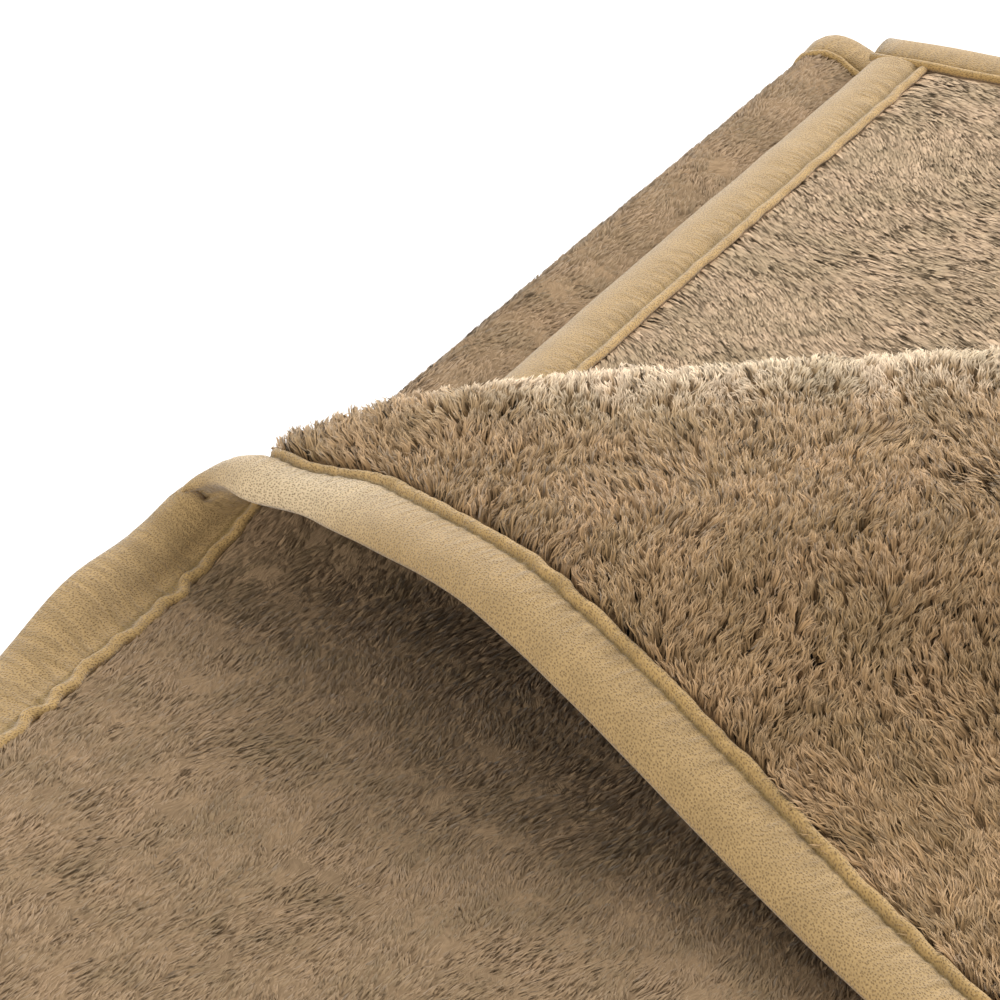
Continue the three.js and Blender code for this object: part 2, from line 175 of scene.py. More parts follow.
@dataclass
class FoldedCloth:
    """The shape in which the cloth lies, the same as that of its solid.

    Attributes:
        width: Its flat width.
        front_y: Place of its front edge along the fold.
        pitch: From the middle of one layer to that of the next.
        half: Height of the middle of the bottom layer.
        lower_edge_x: Where the bound edge of the second layer lies.
        inner_fold_x: Where the second layer folds back.
        shoulder_x: Where the cloth turns up over its shoulder.
        shoulder_radius: Radius of that turn.
        shoulder_foot_x: Where the cloth begins to sink towards it.
        outer_fold_x: Where the bottom layer folds up into the top one.
        sag_start_x: Where the top layer begins to sink on to the bottom one.
        sag_end_x: Where it lies on it.
        turn_angle: Angle from +Y of the line over which the corner is turned.
        roll_past: Places past that line at which the slope of the roll is given.
        roll_slope: Slopes there, in degrees.
        roll_step: Step in which the slopes are summed.
        roll_end: How far they are summed.
        droop: How far the roll sinks at its bound end, the reach over which that fades, and its full height.
        curl: Lift of the bound edge before the roll, its reach from the edge, its middle and its spread.
        bend: Shift of the roll, and the reaches along and past the line over which it comes in.
        wave: Height of a faint ripple and its lengths along x and y.
        lip_reach: How far in from an edge the lip of its binding ends.
        crest_shift: How far that of the top end lies further out on the crest of the roll.
        lower_shift: How far that of the lower end lies further out under the long pile.
        centre: Place that lies at the scene's origin.
        runs: The parts of the folded section, in order.
    """

    width: float = 340.0
    front_y: float = -96.0
    pitch: float = 4.4
    half: float = 1.8
    lower_edge_x: float = 14.5
    inner_fold_x: float = 92.0
    shoulder_x: float = 3.0
    shoulder_radius: float = 3.8
    shoulder_foot_x: float = 13.5
    outer_fold_x: float = 405.0
    sag_start_x: float = 112.0
    sag_end_x: float = 240.0
    turn_angle: float = math.radians(58.24)
    roll_past: tuple[float, ...] = (
        -7, 0, 6, 13.3, 20, 26.7, 33.3, 41.7, 50, 61, 75, 91.7, 111, 130.6, 150, 183)
    roll_slope: tuple[float, ...] = (
        0, 16, 34, 51, 65, 87, 142, 207, 187, 177, 177, 195, 200, 199, 187, 180)
    roll_step: float = 0.25
    roll_end: float = 230.0
    droop: tuple[float, float, float] = (50.0, 18.6, 27.8)
    curl: tuple[float, float, float, float] = (8.2, 4.9, 9.4, 28.0)
    bend: tuple[float, float, float] = (-1.3, 111.0, 33.0)
    wave: tuple[float, float, float] = (0.8, 96.0, 118.0)
    lip_reach: float = 10.6
    crest_shift: float = 5.0
    lower_shift: float = 1.2
    centre: tuple[float, float] = (203.2, 74.0)
    runs: list[Run] = field(default_factory=list)

    def __post_init__(self) -> None:
        """Lays the folded section out and sums up the roll."""
        low, third = self.half, self.half + self.pitch
        second, shoulder_top = third + self.pitch, low + 2.0 * self.shoulder_radius
        small = self.pitch / 2.0
        rows = [
            Run(self.inner_fold_x - self.lower_edge_x),
            Run(math.pi * small, small, -1.0),
            Run(self.inner_fold_x - self.shoulder_foot_x),
            Run(self.shoulder_foot_x - self.shoulder_x, rise=shoulder_top - third),
            Run(math.pi * self.shoulder_radius, self.shoulder_radius, 1.0),
            Run(self.outer_fold_x - self.shoulder_x),
            Run(math.pi * small, small, 1.0),
        ]
        x, z, heading, start = self.lower_edge_x, second, 0.0, 0.0
        for row in rows:
            laid = Run(row.length, row.radius, row.turn, row.rise, x, z, heading, start)
            end_x, end_z = laid.at(np.array(row.length))
            x, z, heading, start = float(end_x), float(end_z), laid.end_heading(), start + row.length
            self.runs.append(laid)
        self.path_end = start
        self.length = start + self.outer_fold_x
        self.top_z = second + self.pitch
        self.bottom_z = low
        places = np.arange(self.roll_past[0], self.roll_end, self.roll_step)
        slope = np.radians(np.interp(places + self.roll_step / 2.0, self.roll_past, self.roll_slope))
        self.sum_past = np.append(places, places[-1] + self.roll_step)
        self.sum_reach = self.roll_past[0] + np.append(0.0, np.cumsum(self.roll_step * np.cos(slope)))
        self.sum_height = np.append(0.0, np.cumsum(self.roll_step * np.sin(slope)))

    def past_line(self, x: Array, y: Array) -> Array:
        """Returns how far places of the flat top layer lie past the turning line."""
        return y * math.sin(self.turn_angle) - x * math.cos(self.turn_angle)

    def top_layer(self, x: Array, y: Array) -> Array:
        """Places points of the top layer.

        Args:
            x: Distances from its bound edge on the flat cloth.
            y: Places along the fold.

        Returns:
            Points, one a row.
        """
        sin, cos = math.sin(self.turn_angle), math.cos(self.turn_angle)
        along = x * sin + y * cos
        past = self.past_line(x, y)
        reach = np.where(past < self.roll_past[0], past, np.interp(past, self.sum_past, self.sum_reach))
        height = np.interp(past, self.sum_past, self.sum_height)
        shift, bend_reach, bend_past = self.bend
        bent = shift * np.clip(along / bend_reach, 0, 1) ** 2 * np.clip(past / bend_past, 0, 1)
        depth, droop_reach, full = self.droop
        droop = depth * np.exp(-np.maximum(along, 0) / droop_reach) * np.clip(height / full, 0, 1)
        lift, width, middle, spread = self.curl
        curl = lift * bell(past, middle, spread) * np.clip((width - x) / width, 0, 1.2) ** 2
        px = along * sin - (reach + bent) * cos
        sag = smoothstep((px - self.sag_start_x) / (self.sag_end_x - self.sag_start_x))
        z = self.top_z - sag * 2.0 * self.pitch + height - droop + curl
        return np.stack([px, along * cos + (reach + bent) * sin, z], axis=-1)

    def point(self, u: Array, v: Array) -> Array:
        """Places points of the middle of the cloth.

        Args:
            u: Places along the cloth.
            v: Places across it.

        Returns:
            Points, one a row.
        """
        u, v = np.broadcast_arrays(np.asarray(u, float), np.asarray(v, float))
        y = self.front_y + v
        out = np.empty(u.shape + (3,))
        top = u >= self.path_end
        out[top] = self.top_layer(self.length - u[top], y[top])
        for index, run in enumerate(self.runs):
            last = index + 1 == len(self.runs)
            here = ~top & (u < (self.path_end if last else run.start + run.length))
            here &= (u >= run.start) | (index == 0)
            x, z = run.at(u[here] - run.start)
            out[here] = np.stack([x, y[here], z], axis=-1)
        height, length_x, length_y = self.wave
        ripple = np.sin(2 * math.pi * out[..., 0] / length_x) + np.sin(2 * math.pi * out[..., 1] / length_y)
        share = smoothstep((out[..., 2] - self.bottom_z) / (self.top_z - self.bottom_z))
        out[..., 2] += height / 4.0 * (2.0 + ripple) * share
        return out

    def frames(self, u: Array, v: Array) -> tuple[Array, Array, Array, Array]:
        """Reads the cloth at flat places.

        Args:
            u: Places along the cloth.
            v: Places across it.

        Returns:
            Its points, its directions along u and v, and its normal out of the short-pile side.
        """
        step = 0.05
        along = unit(self.point(u + step, v) - self.point(u - step, v))
        across = unit(self.point(u, v + step) - self.point(u, v - step))
        return self.point(u, v), along, across, unit(np.cross(across, along))

    def edge_distance(self, u: Array, v: Array) -> Array:
        """Returns how far places lie from the nearest edge of the flat cloth."""
        return np.minimum(np.minimum(u, self.length - u), np.minimum(v, self.width - v))

    def crest(self, past: Array) -> Array:
        """Returns 1 along the roll's crest, where the top end's binding sits lower, and 0 away from it."""
        return smoothstep((past - 26.0) / 9.0) * (1.0 - smoothstep((past - 38.0) / 16.0))

    def clear_of_bindings(self, u: Array, v: Array, side: Side) -> Array:
        """Finds the places of a face that lie beyond the bindings' lips.

        Args:
            u: Places along the cloth.
            v: Places across it.
            side: The face.

        Returns:
            True where a place is clear of them.
        """
        is_long = side is Side.LONG_PILE
        past = self.past_line(self.length - u, self.front_y + v)
        from_top_end = self.length - u + self.crest_shift * self.crest(past) * is_long
        others = np.minimum(np.minimum(u + self.lower_shift * is_long, v), self.width - v)
        return np.minimum(others, from_top_end) > self.lip_reach

    def placed(self, points: Array) -> Array:
        """Returns the points in the scene's frame, in metres."""
        return (points - np.array([self.centre[0], self.centre[1], 0.0])) / 1000.0


@dataclass(frozen=True)
class Viewpoint:
    """The camera at the photograph's viewing angle, in the scene's frame in millimetres.

    Attributes:
        position: Where it stands.
        forward: Direction in which it looks.
        up: Direction that is up in its picture.
        focal: Its focal length, in pixels of the picture.
        picture: Side of the picture, in pixels.
        sensor: Side of its sensor.
    """

    position: tuple[float, float, float] = (103.852, -488.232, 313.548)
    forward: tuple[float, float, float] = (-0.43876234, 0.75818449, -0.48233172)
    up: tuple[float, float, float] = (-0.20734004, 0.43685515, 0.87531005)
    focal: float = 4208.36
    picture: float = 1000.0
    sensor: float = 36.0

    def right(self) -> Array:
        """Returns the direction to the right of the picture."""
        return np.cross(np.array(self.forward), np.array(self.up))

    def depth(self, points: Array) -> Array:
        """Returns how far points in scene millimetres lie in front of the camera."""
        return (points - np.array(self.position)) @ np.array(self.forward)

    def pixels(self, points: Array) -> Array:
        """Finds where points fall in the picture.

        Args:
            points: Points in scene millimetres, one a row.

        Returns:
            Places from the left and from the top in pixels, one pair a row.
        """
        rel = points - np.array(self.position)
        depth = self.depth(points)
        x = self.picture / 2 + self.focal * (rel @ self.right()) / depth
        y = self.picture / 2 - self.focal * (rel @ np.array(self.up)) / depth
        return np.stack([x, y], axis=-1)

    def facing(self, points: Array, normals: Array) -> Array:
        """Returns the cosine between each normal and the way to the camera."""
        return np.sum(unit(np.array(self.position) - points) * normals, axis=-1)

    def make(self) -> bpy.types.Object:
        """Adds the camera to the scene.

        Returns:
            The camera.
        """
        data = bpy.data.cameras.new("photo_camera")
        data.sensor_width = self.sensor
        data.lens = self.sensor * self.focal / self.picture
        data.clip_start, data.clip_end = 0.01, 50.0
        camera = bpy.data.objects.new("photo_camera", data)
        right, up = Vector(self.right()), Vector(self.up)
        back = -Vector(self.forward)
        turn = Matrix((right, up, back)).transposed().to_4x4()
        camera.matrix_world = Matrix.Translation(Vector(self.position) / 1000.0) @ turn
        bpy.context.scene.collection.objects.link(camera)
        bpy.context.scene.camera = camera
        return camera


@dataclass
class Sight:
    """What the camera sees of the cloth, from the nearest depths in a coarse grid over the picture.

    Attributes:
        cloth: The shape of the cloth.
        view: The camera.
        cell: Side of a cell, in pixels.
        slack: How far behind the nearest depth a place still counts as seen.
        margin: Width of the border around the picture in which the share fades, in pixels.
        sampling: Distance between the places of the cloth that fill the grid.
        back_facing: Cosine of the facing down to which a face still counts as seen.
    """

    cloth: FoldedCloth
    view: Viewpoint
    cell: float = 14.0
    slack: float = 7.0
    margin: float = 60.0
    sampling: float = 1.3
    back_facing: float = -0.3

    def __post_init__(self) -> None:
        """Fills the grid with the nearest depths of the cloth."""
        ends = (self.cloth.length, self.cloth.width)
        u, v = np.meshgrid(*[np.arange(0.0, end, self.sampling) for end in ends])
        points = self.cloth.placed(self.cloth.point(u.ravel(), v.ravel())) * 1000.0
        self.cells = int((self.view.picture + 4.0 * self.margin) / self.cell) + 1
        self.nearest = np.full((self.cells, self.cells), 1e9)
        row, column, depth = self.read(points)
        np.minimum.at(self.nearest, (row, column), depth)
        wide = np.pad(self.nearest, 1, mode="edge")
        around = [wide[i : i + self.cells, j : j + self.cells] for i in range(3) for j in range(3)]
        self.nearest = np.max(np.stack(around), axis=0)

    def read(self, points: Array) -> tuple[Array, Array, Array]:
        """Finds the cells in which points fall.

        Args:
            points: Points in scene millimetres, one a row.

        Returns:
            Their rows, columns and depths.
        """
        pixels = (self.view.pixels(points) + 2.0 * self.margin) / self.cell
        column, row = [np.clip(pixels[:, i], 0, self.cells - 1).astype(int) for i in (0, 1)]
        return row, column, self.view.depth(points)

    def share(self, middle: Array, normal: Array) -> Array:
        """Returns 1 where the camera sees a face of the cloth, easing to 0 just outside the picture.

        Args:
            middle: Points of the cloth.
            normal: Directions out of its face there.

        Returns:
            Values from 0 to 1.
        """
        points = self.cloth.placed(middle) * 1000.0
        half = self.view.picture / 2.0
        outside = np.max(np.abs(self.view.pixels(points) - half), axis=-1) - half
        row, column, depth = self.read(points)
        clear = depth < self.nearest[row, column] + self.slack
        facing = self.view.facing(points, normal) > self.back_facing
        return (1.0 - np.clip(outside / self.margin, 0.0, 1.0)) * clear * facing


@dataclass
class MeshPlan:
    """Vertices, faces and face-corner maps of one piece, held as arrays until it is made.

    Attributes:
        points: Vertices in metres, one a row.
        faces: Vertex numbers, arrays of rows of 3 or of 4.
        maps: UV maps by name, each with a pair for every vertex.
        leanings: Direction that the nap faces at each vertex, or nothing.
    """

    points: Array
    faces: list[Array]
    maps: dict[str, Array]
    leanings: Array | None = None

    def make(self, name: str, material: bpy.types.Material) -> bpy.types.Object:
        """Makes the piece.

        Args:
            name: Its name.
            material: Its material.

        Returns:
            The new object, at the origin.
        """
        loops = np.concatenate([f.ravel() for f in self.faces]).astype(np.int32)
        sizes = np.concatenate([np.full(len(f), f.shape[1]) for f in self.faces])
        starts = np.concatenate([[0], np.cumsum(sizes)[:-1]]).astype(np.int32)
        mesh = bpy.data.meshes.new(name)
        mesh.vertices.add(len(self.points))
        mesh.vertices.foreach_set("co", self.points.astype(np.float32).ravel())
        mesh.loops.add(len(loops))
        mesh.loops.foreach_set("vertex_index", loops)
        mesh.polygons.add(len(starts))
        mesh.polygons.foreach_set("loop_start", starts)
        mesh.polygons.foreach_set("use_smooth", np.ones(len(starts), bool))
        mesh.update(calc_edges=True)
        for key, values in self.maps.items():
            layer = mesh.uv_layers.new(name=key)
            layer.uv.foreach_set("vector", values[loops].astype(np.float32).ravel())
        if self.leanings is not None:
            kept = mesh.attributes.new("nap_facing", "FLOAT_VECTOR", "POINT")
            kept.data.foreach_set("vector", self.leanings.astype(np.float32).ravel())
        mesh.validate()
        mesh.materials.append(material)
        piece = bpy.data.objects.new(name, mesh)
        bpy.context.scene.collection.objects.link(piece)
        log.info("%s: %d triangles", name, int(np.sum(sizes - 2)))
        return piece


# Node groups and finishes


class Shader:
    """A small helper that adds and links nodes in one node tree."""

    def __init__(self, tree: bpy.types.NodeTree) -> None:
        """Keeps the tree."""
        self.tree = tree

    def node(self, kind: str, **settings: object) -> bpy.types.Node:
        """Adds a node.

        Args:
            kind: Its type name.
            **settings: Its properties.

        Returns:
            The node.
        """
        made = self.tree.nodes.new(kind)
        for key, value in settings.items():
            setattr(made, key, value)
        return made

    def put(self, socket: Socket, value: object) -> None:
        """Fills a socket.

        Args:
            socket: The socket.
            value: An output to link to it, or a plain value.
        """
        if isinstance(value, Socket):
            self.tree.links.new(value, socket)
        else:
            socket.default_value = value

    def filled(self, kind: str, values: tuple[object, ...], **settings: object) -> bpy.types.Node:
        """Adds a node and fills its first sockets.

        Args:
            kind: Its type name.
            values: What its sockets get, in their order.
            **settings: Its properties.

        Returns:
            The node.
        """
        made = self.node(kind, **settings)
        for socket, value in zip(made.inputs, values):
            self.put(socket, value)
        return made

    def math(self, operation: str, *values: object) -> Socket:
        """Adds a Math node and returns its output."""
        return self.filled("ShaderNodeMath", values, operation=operation).outputs[0]

    def vector(self, operation: str, *values: object) -> Socket:
        """Adds a Vector Math node and returns its vector output."""
        return self.filled("ShaderNodeVectorMath", values, operation=operation).outputs[0]

    def mix(self, share: object, a: object, b: object, blend: str = "MIX") -> Socket:
        """Mixes two colours.

        Args:
            share: How much of the second colour is used.
            a: The first colour.
            b: The second colour.
            blend: How they are blended.

        Returns:
            The mixed colour.
        """
        made = self.node("ShaderNodeMix", data_type="RGBA", blend_type=blend)
        for index, value in ((0, share), (6, a), (7, b)):
            self.put(made.inputs[index], value)
        return made.outputs[2]

    def toned(self, colour: object, tone: Socket) -> Socket:
        """Returns a colour made lighter or darker by a factor."""
        return self.mix(1.0, colour, self.join(tone, tone, tone), "MULTIPLY")

    def ramp(self, value: object, low: float, high: float, to_low: float = 0.0,
             to_high: float = 1.0) -> Socket:
        """Eases a value from one range to another.

        Args:
            value: The value.
            low: Where it starts to rise.
            high: Where it stops.
            to_low: Result up to the first.
            to_high: Result from the second on.

        Returns:
            The result.
        """
        wanted = (value, low, high, to_low, to_high)
        return self.filled("ShaderNodeMapRange", wanted, interpolation_type="SMOOTHSTEP").outputs[0]

    def texture(self, vector: object, scale: float, detail: float, roughness: float) -> bpy.types.Node:
        """Adds a Noise Texture.

        Args:
            vector: Where it is read.
            scale: Its scale.
            detail: How many finer layers it has.
            roughness: How strong they are.

        Returns:
            The node.
        """
        made = self.node("ShaderNodeTexNoise")
        wanted = {"Vector": vector, "Scale": scale, "Detail": detail, "Roughness": roughness}
        for name, value in wanted.items():
            self.put(made.inputs[name], value)
        return made

    def noise(self, vector: object, scale: float, detail: float = 2.0, roughness: float = 0.5) -> Socket:
        """Returns soft random values from 0 to 1."""
        return self.texture(vector, scale, detail, roughness).outputs["Fac"]

    def wander(self, vector: object, scale: float) -> Socket:
        """Returns a soft random vector around zero."""
        colour = self.texture(vector, scale, 1.0, 0.5).outputs["Color"]
        return self.vector("SUBTRACT", colour, (0.5, 0.5, 0.5))

    def scaled(self, vector: object, factor: float) -> Socket:
        """Returns the vector times a factor."""
        return self.vector("MULTIPLY", vector, (factor, factor, factor))

    def uv(self, name: str) -> Socket:
        """Returns the vector of a UV map of the piece."""
        return self.node("ShaderNodeUVMap", uv_map=name).outputs[0]

    def attribute(self, name: str) -> Socket:
        """Returns a vector that is kept at the piece's vertices."""
        return self.node("ShaderNodeAttribute", attribute_name=name).outputs["Vector"]

    def split(self, vector: Socket) -> tuple[Socket, Socket]:
        """Returns the first two parts of a vector."""
        made = self.filled("ShaderNodeSeparateXYZ", (vector,))
        return made.outputs[0], made.outputs[1]

    def join(self, x: object, y: object, z: object = 0.0) -> Socket:
        """Returns a vector made of its parts."""
        return self.filled("ShaderNodeCombineXYZ", (x, y, z)).outputs[0]

    def group(self, tree: bpy.types.NodeTree, **values: object) -> bpy.types.Node:
        """Places a node group.

        Args:
            tree: The group.
            **values: What its sockets get, by their names.

        Returns:
            The node.
        """
        made = self.node("ShaderNodeGroup", node_tree=tree)
        for key, value in values.items():
            self.put(made.inputs[key], value)
        return made

    def bump(self, shader: bpy.types.Node, height: Socket, strength: float, distance: float) -> None:
        """Gives a shader a fine relief.

        Args:
            shader: The shader.
            height: The relief's height.
            strength: How strongly it shades.
            distance: Its depth in metres.
        """
        made = self.node("ShaderNodeBump")
        for name, value in {"Strength": strength, "Distance": distance, "Height": height}.items():
            self.put(made.inputs[name], value)
        self.put(shader.inputs["Normal"], made.outputs[0])


def new_group(name: str, inputs: list[tuple[str, str, float]],
              outputs: list[tuple[str, str]]) -> tuple[bpy.types.NodeTree, Shader]:
    """Starts a shader node group.

    Args:
        name: Its name.
        inputs: Name, socket type and default of each input; a default is ignored on a vector.
        outputs: Name and socket type of each output.

    Returns:
        The group and a helper for its nodes.
    """
    tree = bpy.data.node_groups.new(name, "ShaderNodeTree")
    for label, kind, default in inputs:
        socket = tree.interface.new_socket(label, in_out="INPUT", socket_type=kind)
        if kind == "NodeSocketFloat":
            socket.default_value = default
    for label, kind in outputs:
        tree.interface.new_socket(label, in_out="OUTPUT", socket_type=kind)
    return tree, Shader(tree)


def knit_group() -> bpy.types.NodeTree:
    """Makes the fine knit of the bindings: small uneven stitches with dark pores between them.

    Returns:
        The group, which reads a flat place in millimetres.
    """
    tree, s = new_group(
        "Fine knit",
        [("Place", "NodeSocketVector", 0.0), ("Pitch", "NodeSocketFloat", 1.0),
         ("Unevenness", "NodeSocketFloat", 0.5)],
        [("Height", "NodeSocketFloat"), ("Pores", "NodeSocketFloat"), ("Fuzz", "NodeSocketFloat")],
    )
    come = s.node("NodeGroupInput")
    go = s.node("NodeGroupOutput")
    place = come.outputs["Place"]
    strayed = s.vector("ADD", place, s.scaled(s.wander(place, 0.9), 0.28))
    x, y = s.split(strayed)
    slanted = s.math("ADD", x, s.math("MULTIPLY", y, 0.45))
    counted = s.join(s.math("DIVIDE", slanted, come.outputs["Pitch"]),
                     s.math("DIVIDE", y, s.math("MULTIPLY", come.outputs["Pitch"], 0.72)))
    cells = s.node("ShaderNodeTexVoronoi", voronoi_dimensions="2D")
    s.put(cells.inputs["Vector"], counted)
    cells.inputs["Scale"].default_value = 1.0
    s.put(cells.inputs["Randomness"], come.outputs["Unevenness"])
    deep = s.ramp(s.noise(place, 1.1, 3.0, 0.7), 0.30, 0.56, 0.35, 1.0)
    pores = s.math("MULTIPLY", s.ramp(cells.outputs["Distance"], 0.08, 0.44, 1.0, 0.0), deep)
    fuzz = s.noise(place, 3.2, 3.0, 0.75)
    raised = s.math("SUBTRACT", s.math("MULTIPLY", fuzz, 0.9), s.math("MULTIPLY", pores, 0.8))
    s.put(go.inputs["Height"], raised)
    s.put(go.inputs["Fuzz"], fuzz)
    s.put(go.inputs["Pores"], pores)
    return tree


def nap_group() -> bpy.types.NodeTree:
    """Makes the combed nap of the ground cloth: strokes along the cloth's width and broad soft blotches.

    Returns:
        The group, which reads a flat place in millimetres.
    """
    tree, s = new_group(
        "Combed nap",
        [("Place", "NodeSocketVector", 0.0), ("Stroke", "NodeSocketFloat", 1.0)],
        [("Strokes", "NodeSocketFloat"), ("Blotches", "NodeSocketFloat")],
    )
    come = s.node("NodeGroupInput")
    go = s.node("NodeGroupOutput")
    x, y = s.split(come.outputs["Place"])
    bent = s.math("MULTIPLY", s.noise(come.outputs["Place"], 0.11, 1.0), 9.0)
    narrow = s.math("DIVIDE", s.math("ADD", x, bent), come.outputs["Stroke"])
    long = s.math("DIVIDE", y, s.math("MULTIPLY", come.outputs["Stroke"], 6.0))
    strokes = s.noise(s.join(narrow, long), 2.4, 3.0, 0.62)
    blotches = s.noise(come.outputs["Place"], 0.12, 3.0, 0.55)
    s.put(go.inputs["Strokes"], strokes)
    s.put(go.inputs["Blotches"], blotches)
    return tree


@dataclass(frozen=True)
class ClothFinish:
    """The ground of the cloth: short combed nap on one face, and on the other the ground under the long
    pile, darkened with painted shade at the roots.

    Attributes:
        light: Colour of the raised nap.
        dark: Painted shade between its raised strokes.
        roots: Colour of the ground under the long pile, darkened with painted shade.
        combed_lit_ground: Colour of the ground where the long pile is combed down, made light partly for its
            flat lay and partly as painted light on the brightly lit lower layers.
        stroke: Width of the nap's strokes in millimetres.
    """

    light: Colour = (0.305, 0.205, 0.115, 1.0)
    dark: Colour = (0.215, 0.140, 0.076, 1.0)
    roots: Colour = (0.24, 0.148, 0.076, 1.0)
    combed_lit_ground: Colour = (0.50, 0.350, 0.215, 1.0)
    stroke: float = 0.9

    def material(self, nap: bpy.types.NodeTree) -> bpy.types.Material:
        """Makes the material.

        Args:
            nap: The nap's node group.

        Returns:
            The material.
        """
        made, s, shader = plain_material("fleece_ground", 0.95)
        place = s.scaled(s.uv("flat"), 1000.0)
        combed = s.group(nap, Place=place, Stroke=self.stroke)
        share = s.ramp(combed.outputs["Strokes"], 0.32, 0.68)
        # The raised strokes keep the light colour, with painted shade between them.
        face = s.mix(share, self.dark, self.light)
        tone = s.ramp(combed.outputs["Blotches"], 0.3, 0.7, 0.82, 1.1)
        is_long, combed_down = s.split(s.uv("side"))
        # Painted shade darkens the ground under the standing long pile; under the combed pile it is kept
        # light with painted light.
        ground_shade_and_light = s.mix(combed_down, self.roots, self.combed_lit_ground)
        s.put(shader.inputs["Base Color"], s.mix(is_long, s.toned(face, tone), ground_shade_and_light))
        s.bump(shader, combed.outputs["Strokes"], 0.6, 0.0006)
        return made


@dataclass(frozen=True)
class PileFinish:
    """Fibres coloured from a dark root to a light tip, each lock a little different; the darkening towards
    the root is painted shade.

    Attributes:
        nap: The kind of pile.
        root: Colour at the root, darkened with painted shade.
        middle: Colour half way up.
        tip: Colour at the tip.
        ridge_highlight: Painted highlight on the tips that stand apart along the ridge of a fold, where the
            back light catches them.
        spread: How far locks differ in lightness.
        sheen: Weight of the soft sheen.
        cool: Factor on the colour in the darker blotches.
        warm: Factor on the colour in the lighter blotches.
        blotch: Scale of the blotches, in turns a millimetre.
    """

    nap: Nap
    root: Colour
    middle: Colour
    tip: Colour
    ridge_highlight: Colour = (1.00, 0.79, 0.56, 1.0)
    spread: float = 0.25
    sheen: float = 0.25
    cool: Colour = (0.83, 0.84, 0.80, 1.0)
    warm: Colour = (1.07, 1.05, 1.05, 1.0)
    blotch: float = 0.10

    def material(self) -> bpy.types.Material:
        """Makes the material.

        Returns:
            The material.
        """
        made, s, shader = plain_material(self.nap.value, 0.85)
        across, along = s.split(s.uv("strand"))
        lock, fibre = s.split(s.uv("lock"))
        # Painted shade: the ramp darkens each strand towards its root.
        ramp = s.node("ShaderNodeValToRGB")
        ramp.color_ramp.interpolation = "EASE"
        ramp.color_ramp.elements[0].color = self.root
        # Painted highlight: the end of the ramp is the ridge highlight, reached only where the ridge pushes
        # the colour place along the strand.
        ramp.color_ramp.elements[1].color = self.ridge_highlight
        for place, colour in ((0.32, self.middle), (0.64, self.tip)):
            ramp.color_ramp.elements.new(place).color = colour
        s.put(ramp.inputs[0], s.math("DIVIDE", along, 1.6))
        mixed = s.math("ADD", s.math("MULTIPLY", lock, 0.6), s.math("MULTIPLY", fibre, 0.4))
        tone = s.ramp(mixed, 0.0, 1.0, 1.0 - self.spread, 1.0 + self.spread)
        lines = s.join(s.math("MULTIPLY", across, 9.0), along, s.math("MULTIPLY", fibre, 57.0))
        streak = s.noise(lines, 1.0, 1.0)
        broad = s.ramp(s.noise(s.scaled(s.uv("flat"), 1000.0), self.blotch, 3.0, 0.55), 0.3, 0.7)
        lined = s.math("MULTIPLY", tone, s.ramp(streak, 0.3, 0.7, 0.90, 1.08))
        shade = s.mix(broad, self.cool, self.warm)
        toned = s.toned(ramp.outputs[0], lined)
        s.put(shader.inputs["Base Color"], s.mix(1.0, toned, shade, "MULTIPLY"))
        s.put(shader.inputs["Normal"], s.attribute("nap_facing"))
        shader.inputs["Sheen Weight"].default_value = self.sheen
        shader.inputs["Sheen Roughness"].default_value = 0.4
        shader.inputs["Sheen Tint"].default_value = (1.0, 0.93, 0.84, 1.0)
        made.cycles.use_bump_map_correction = False
        return made


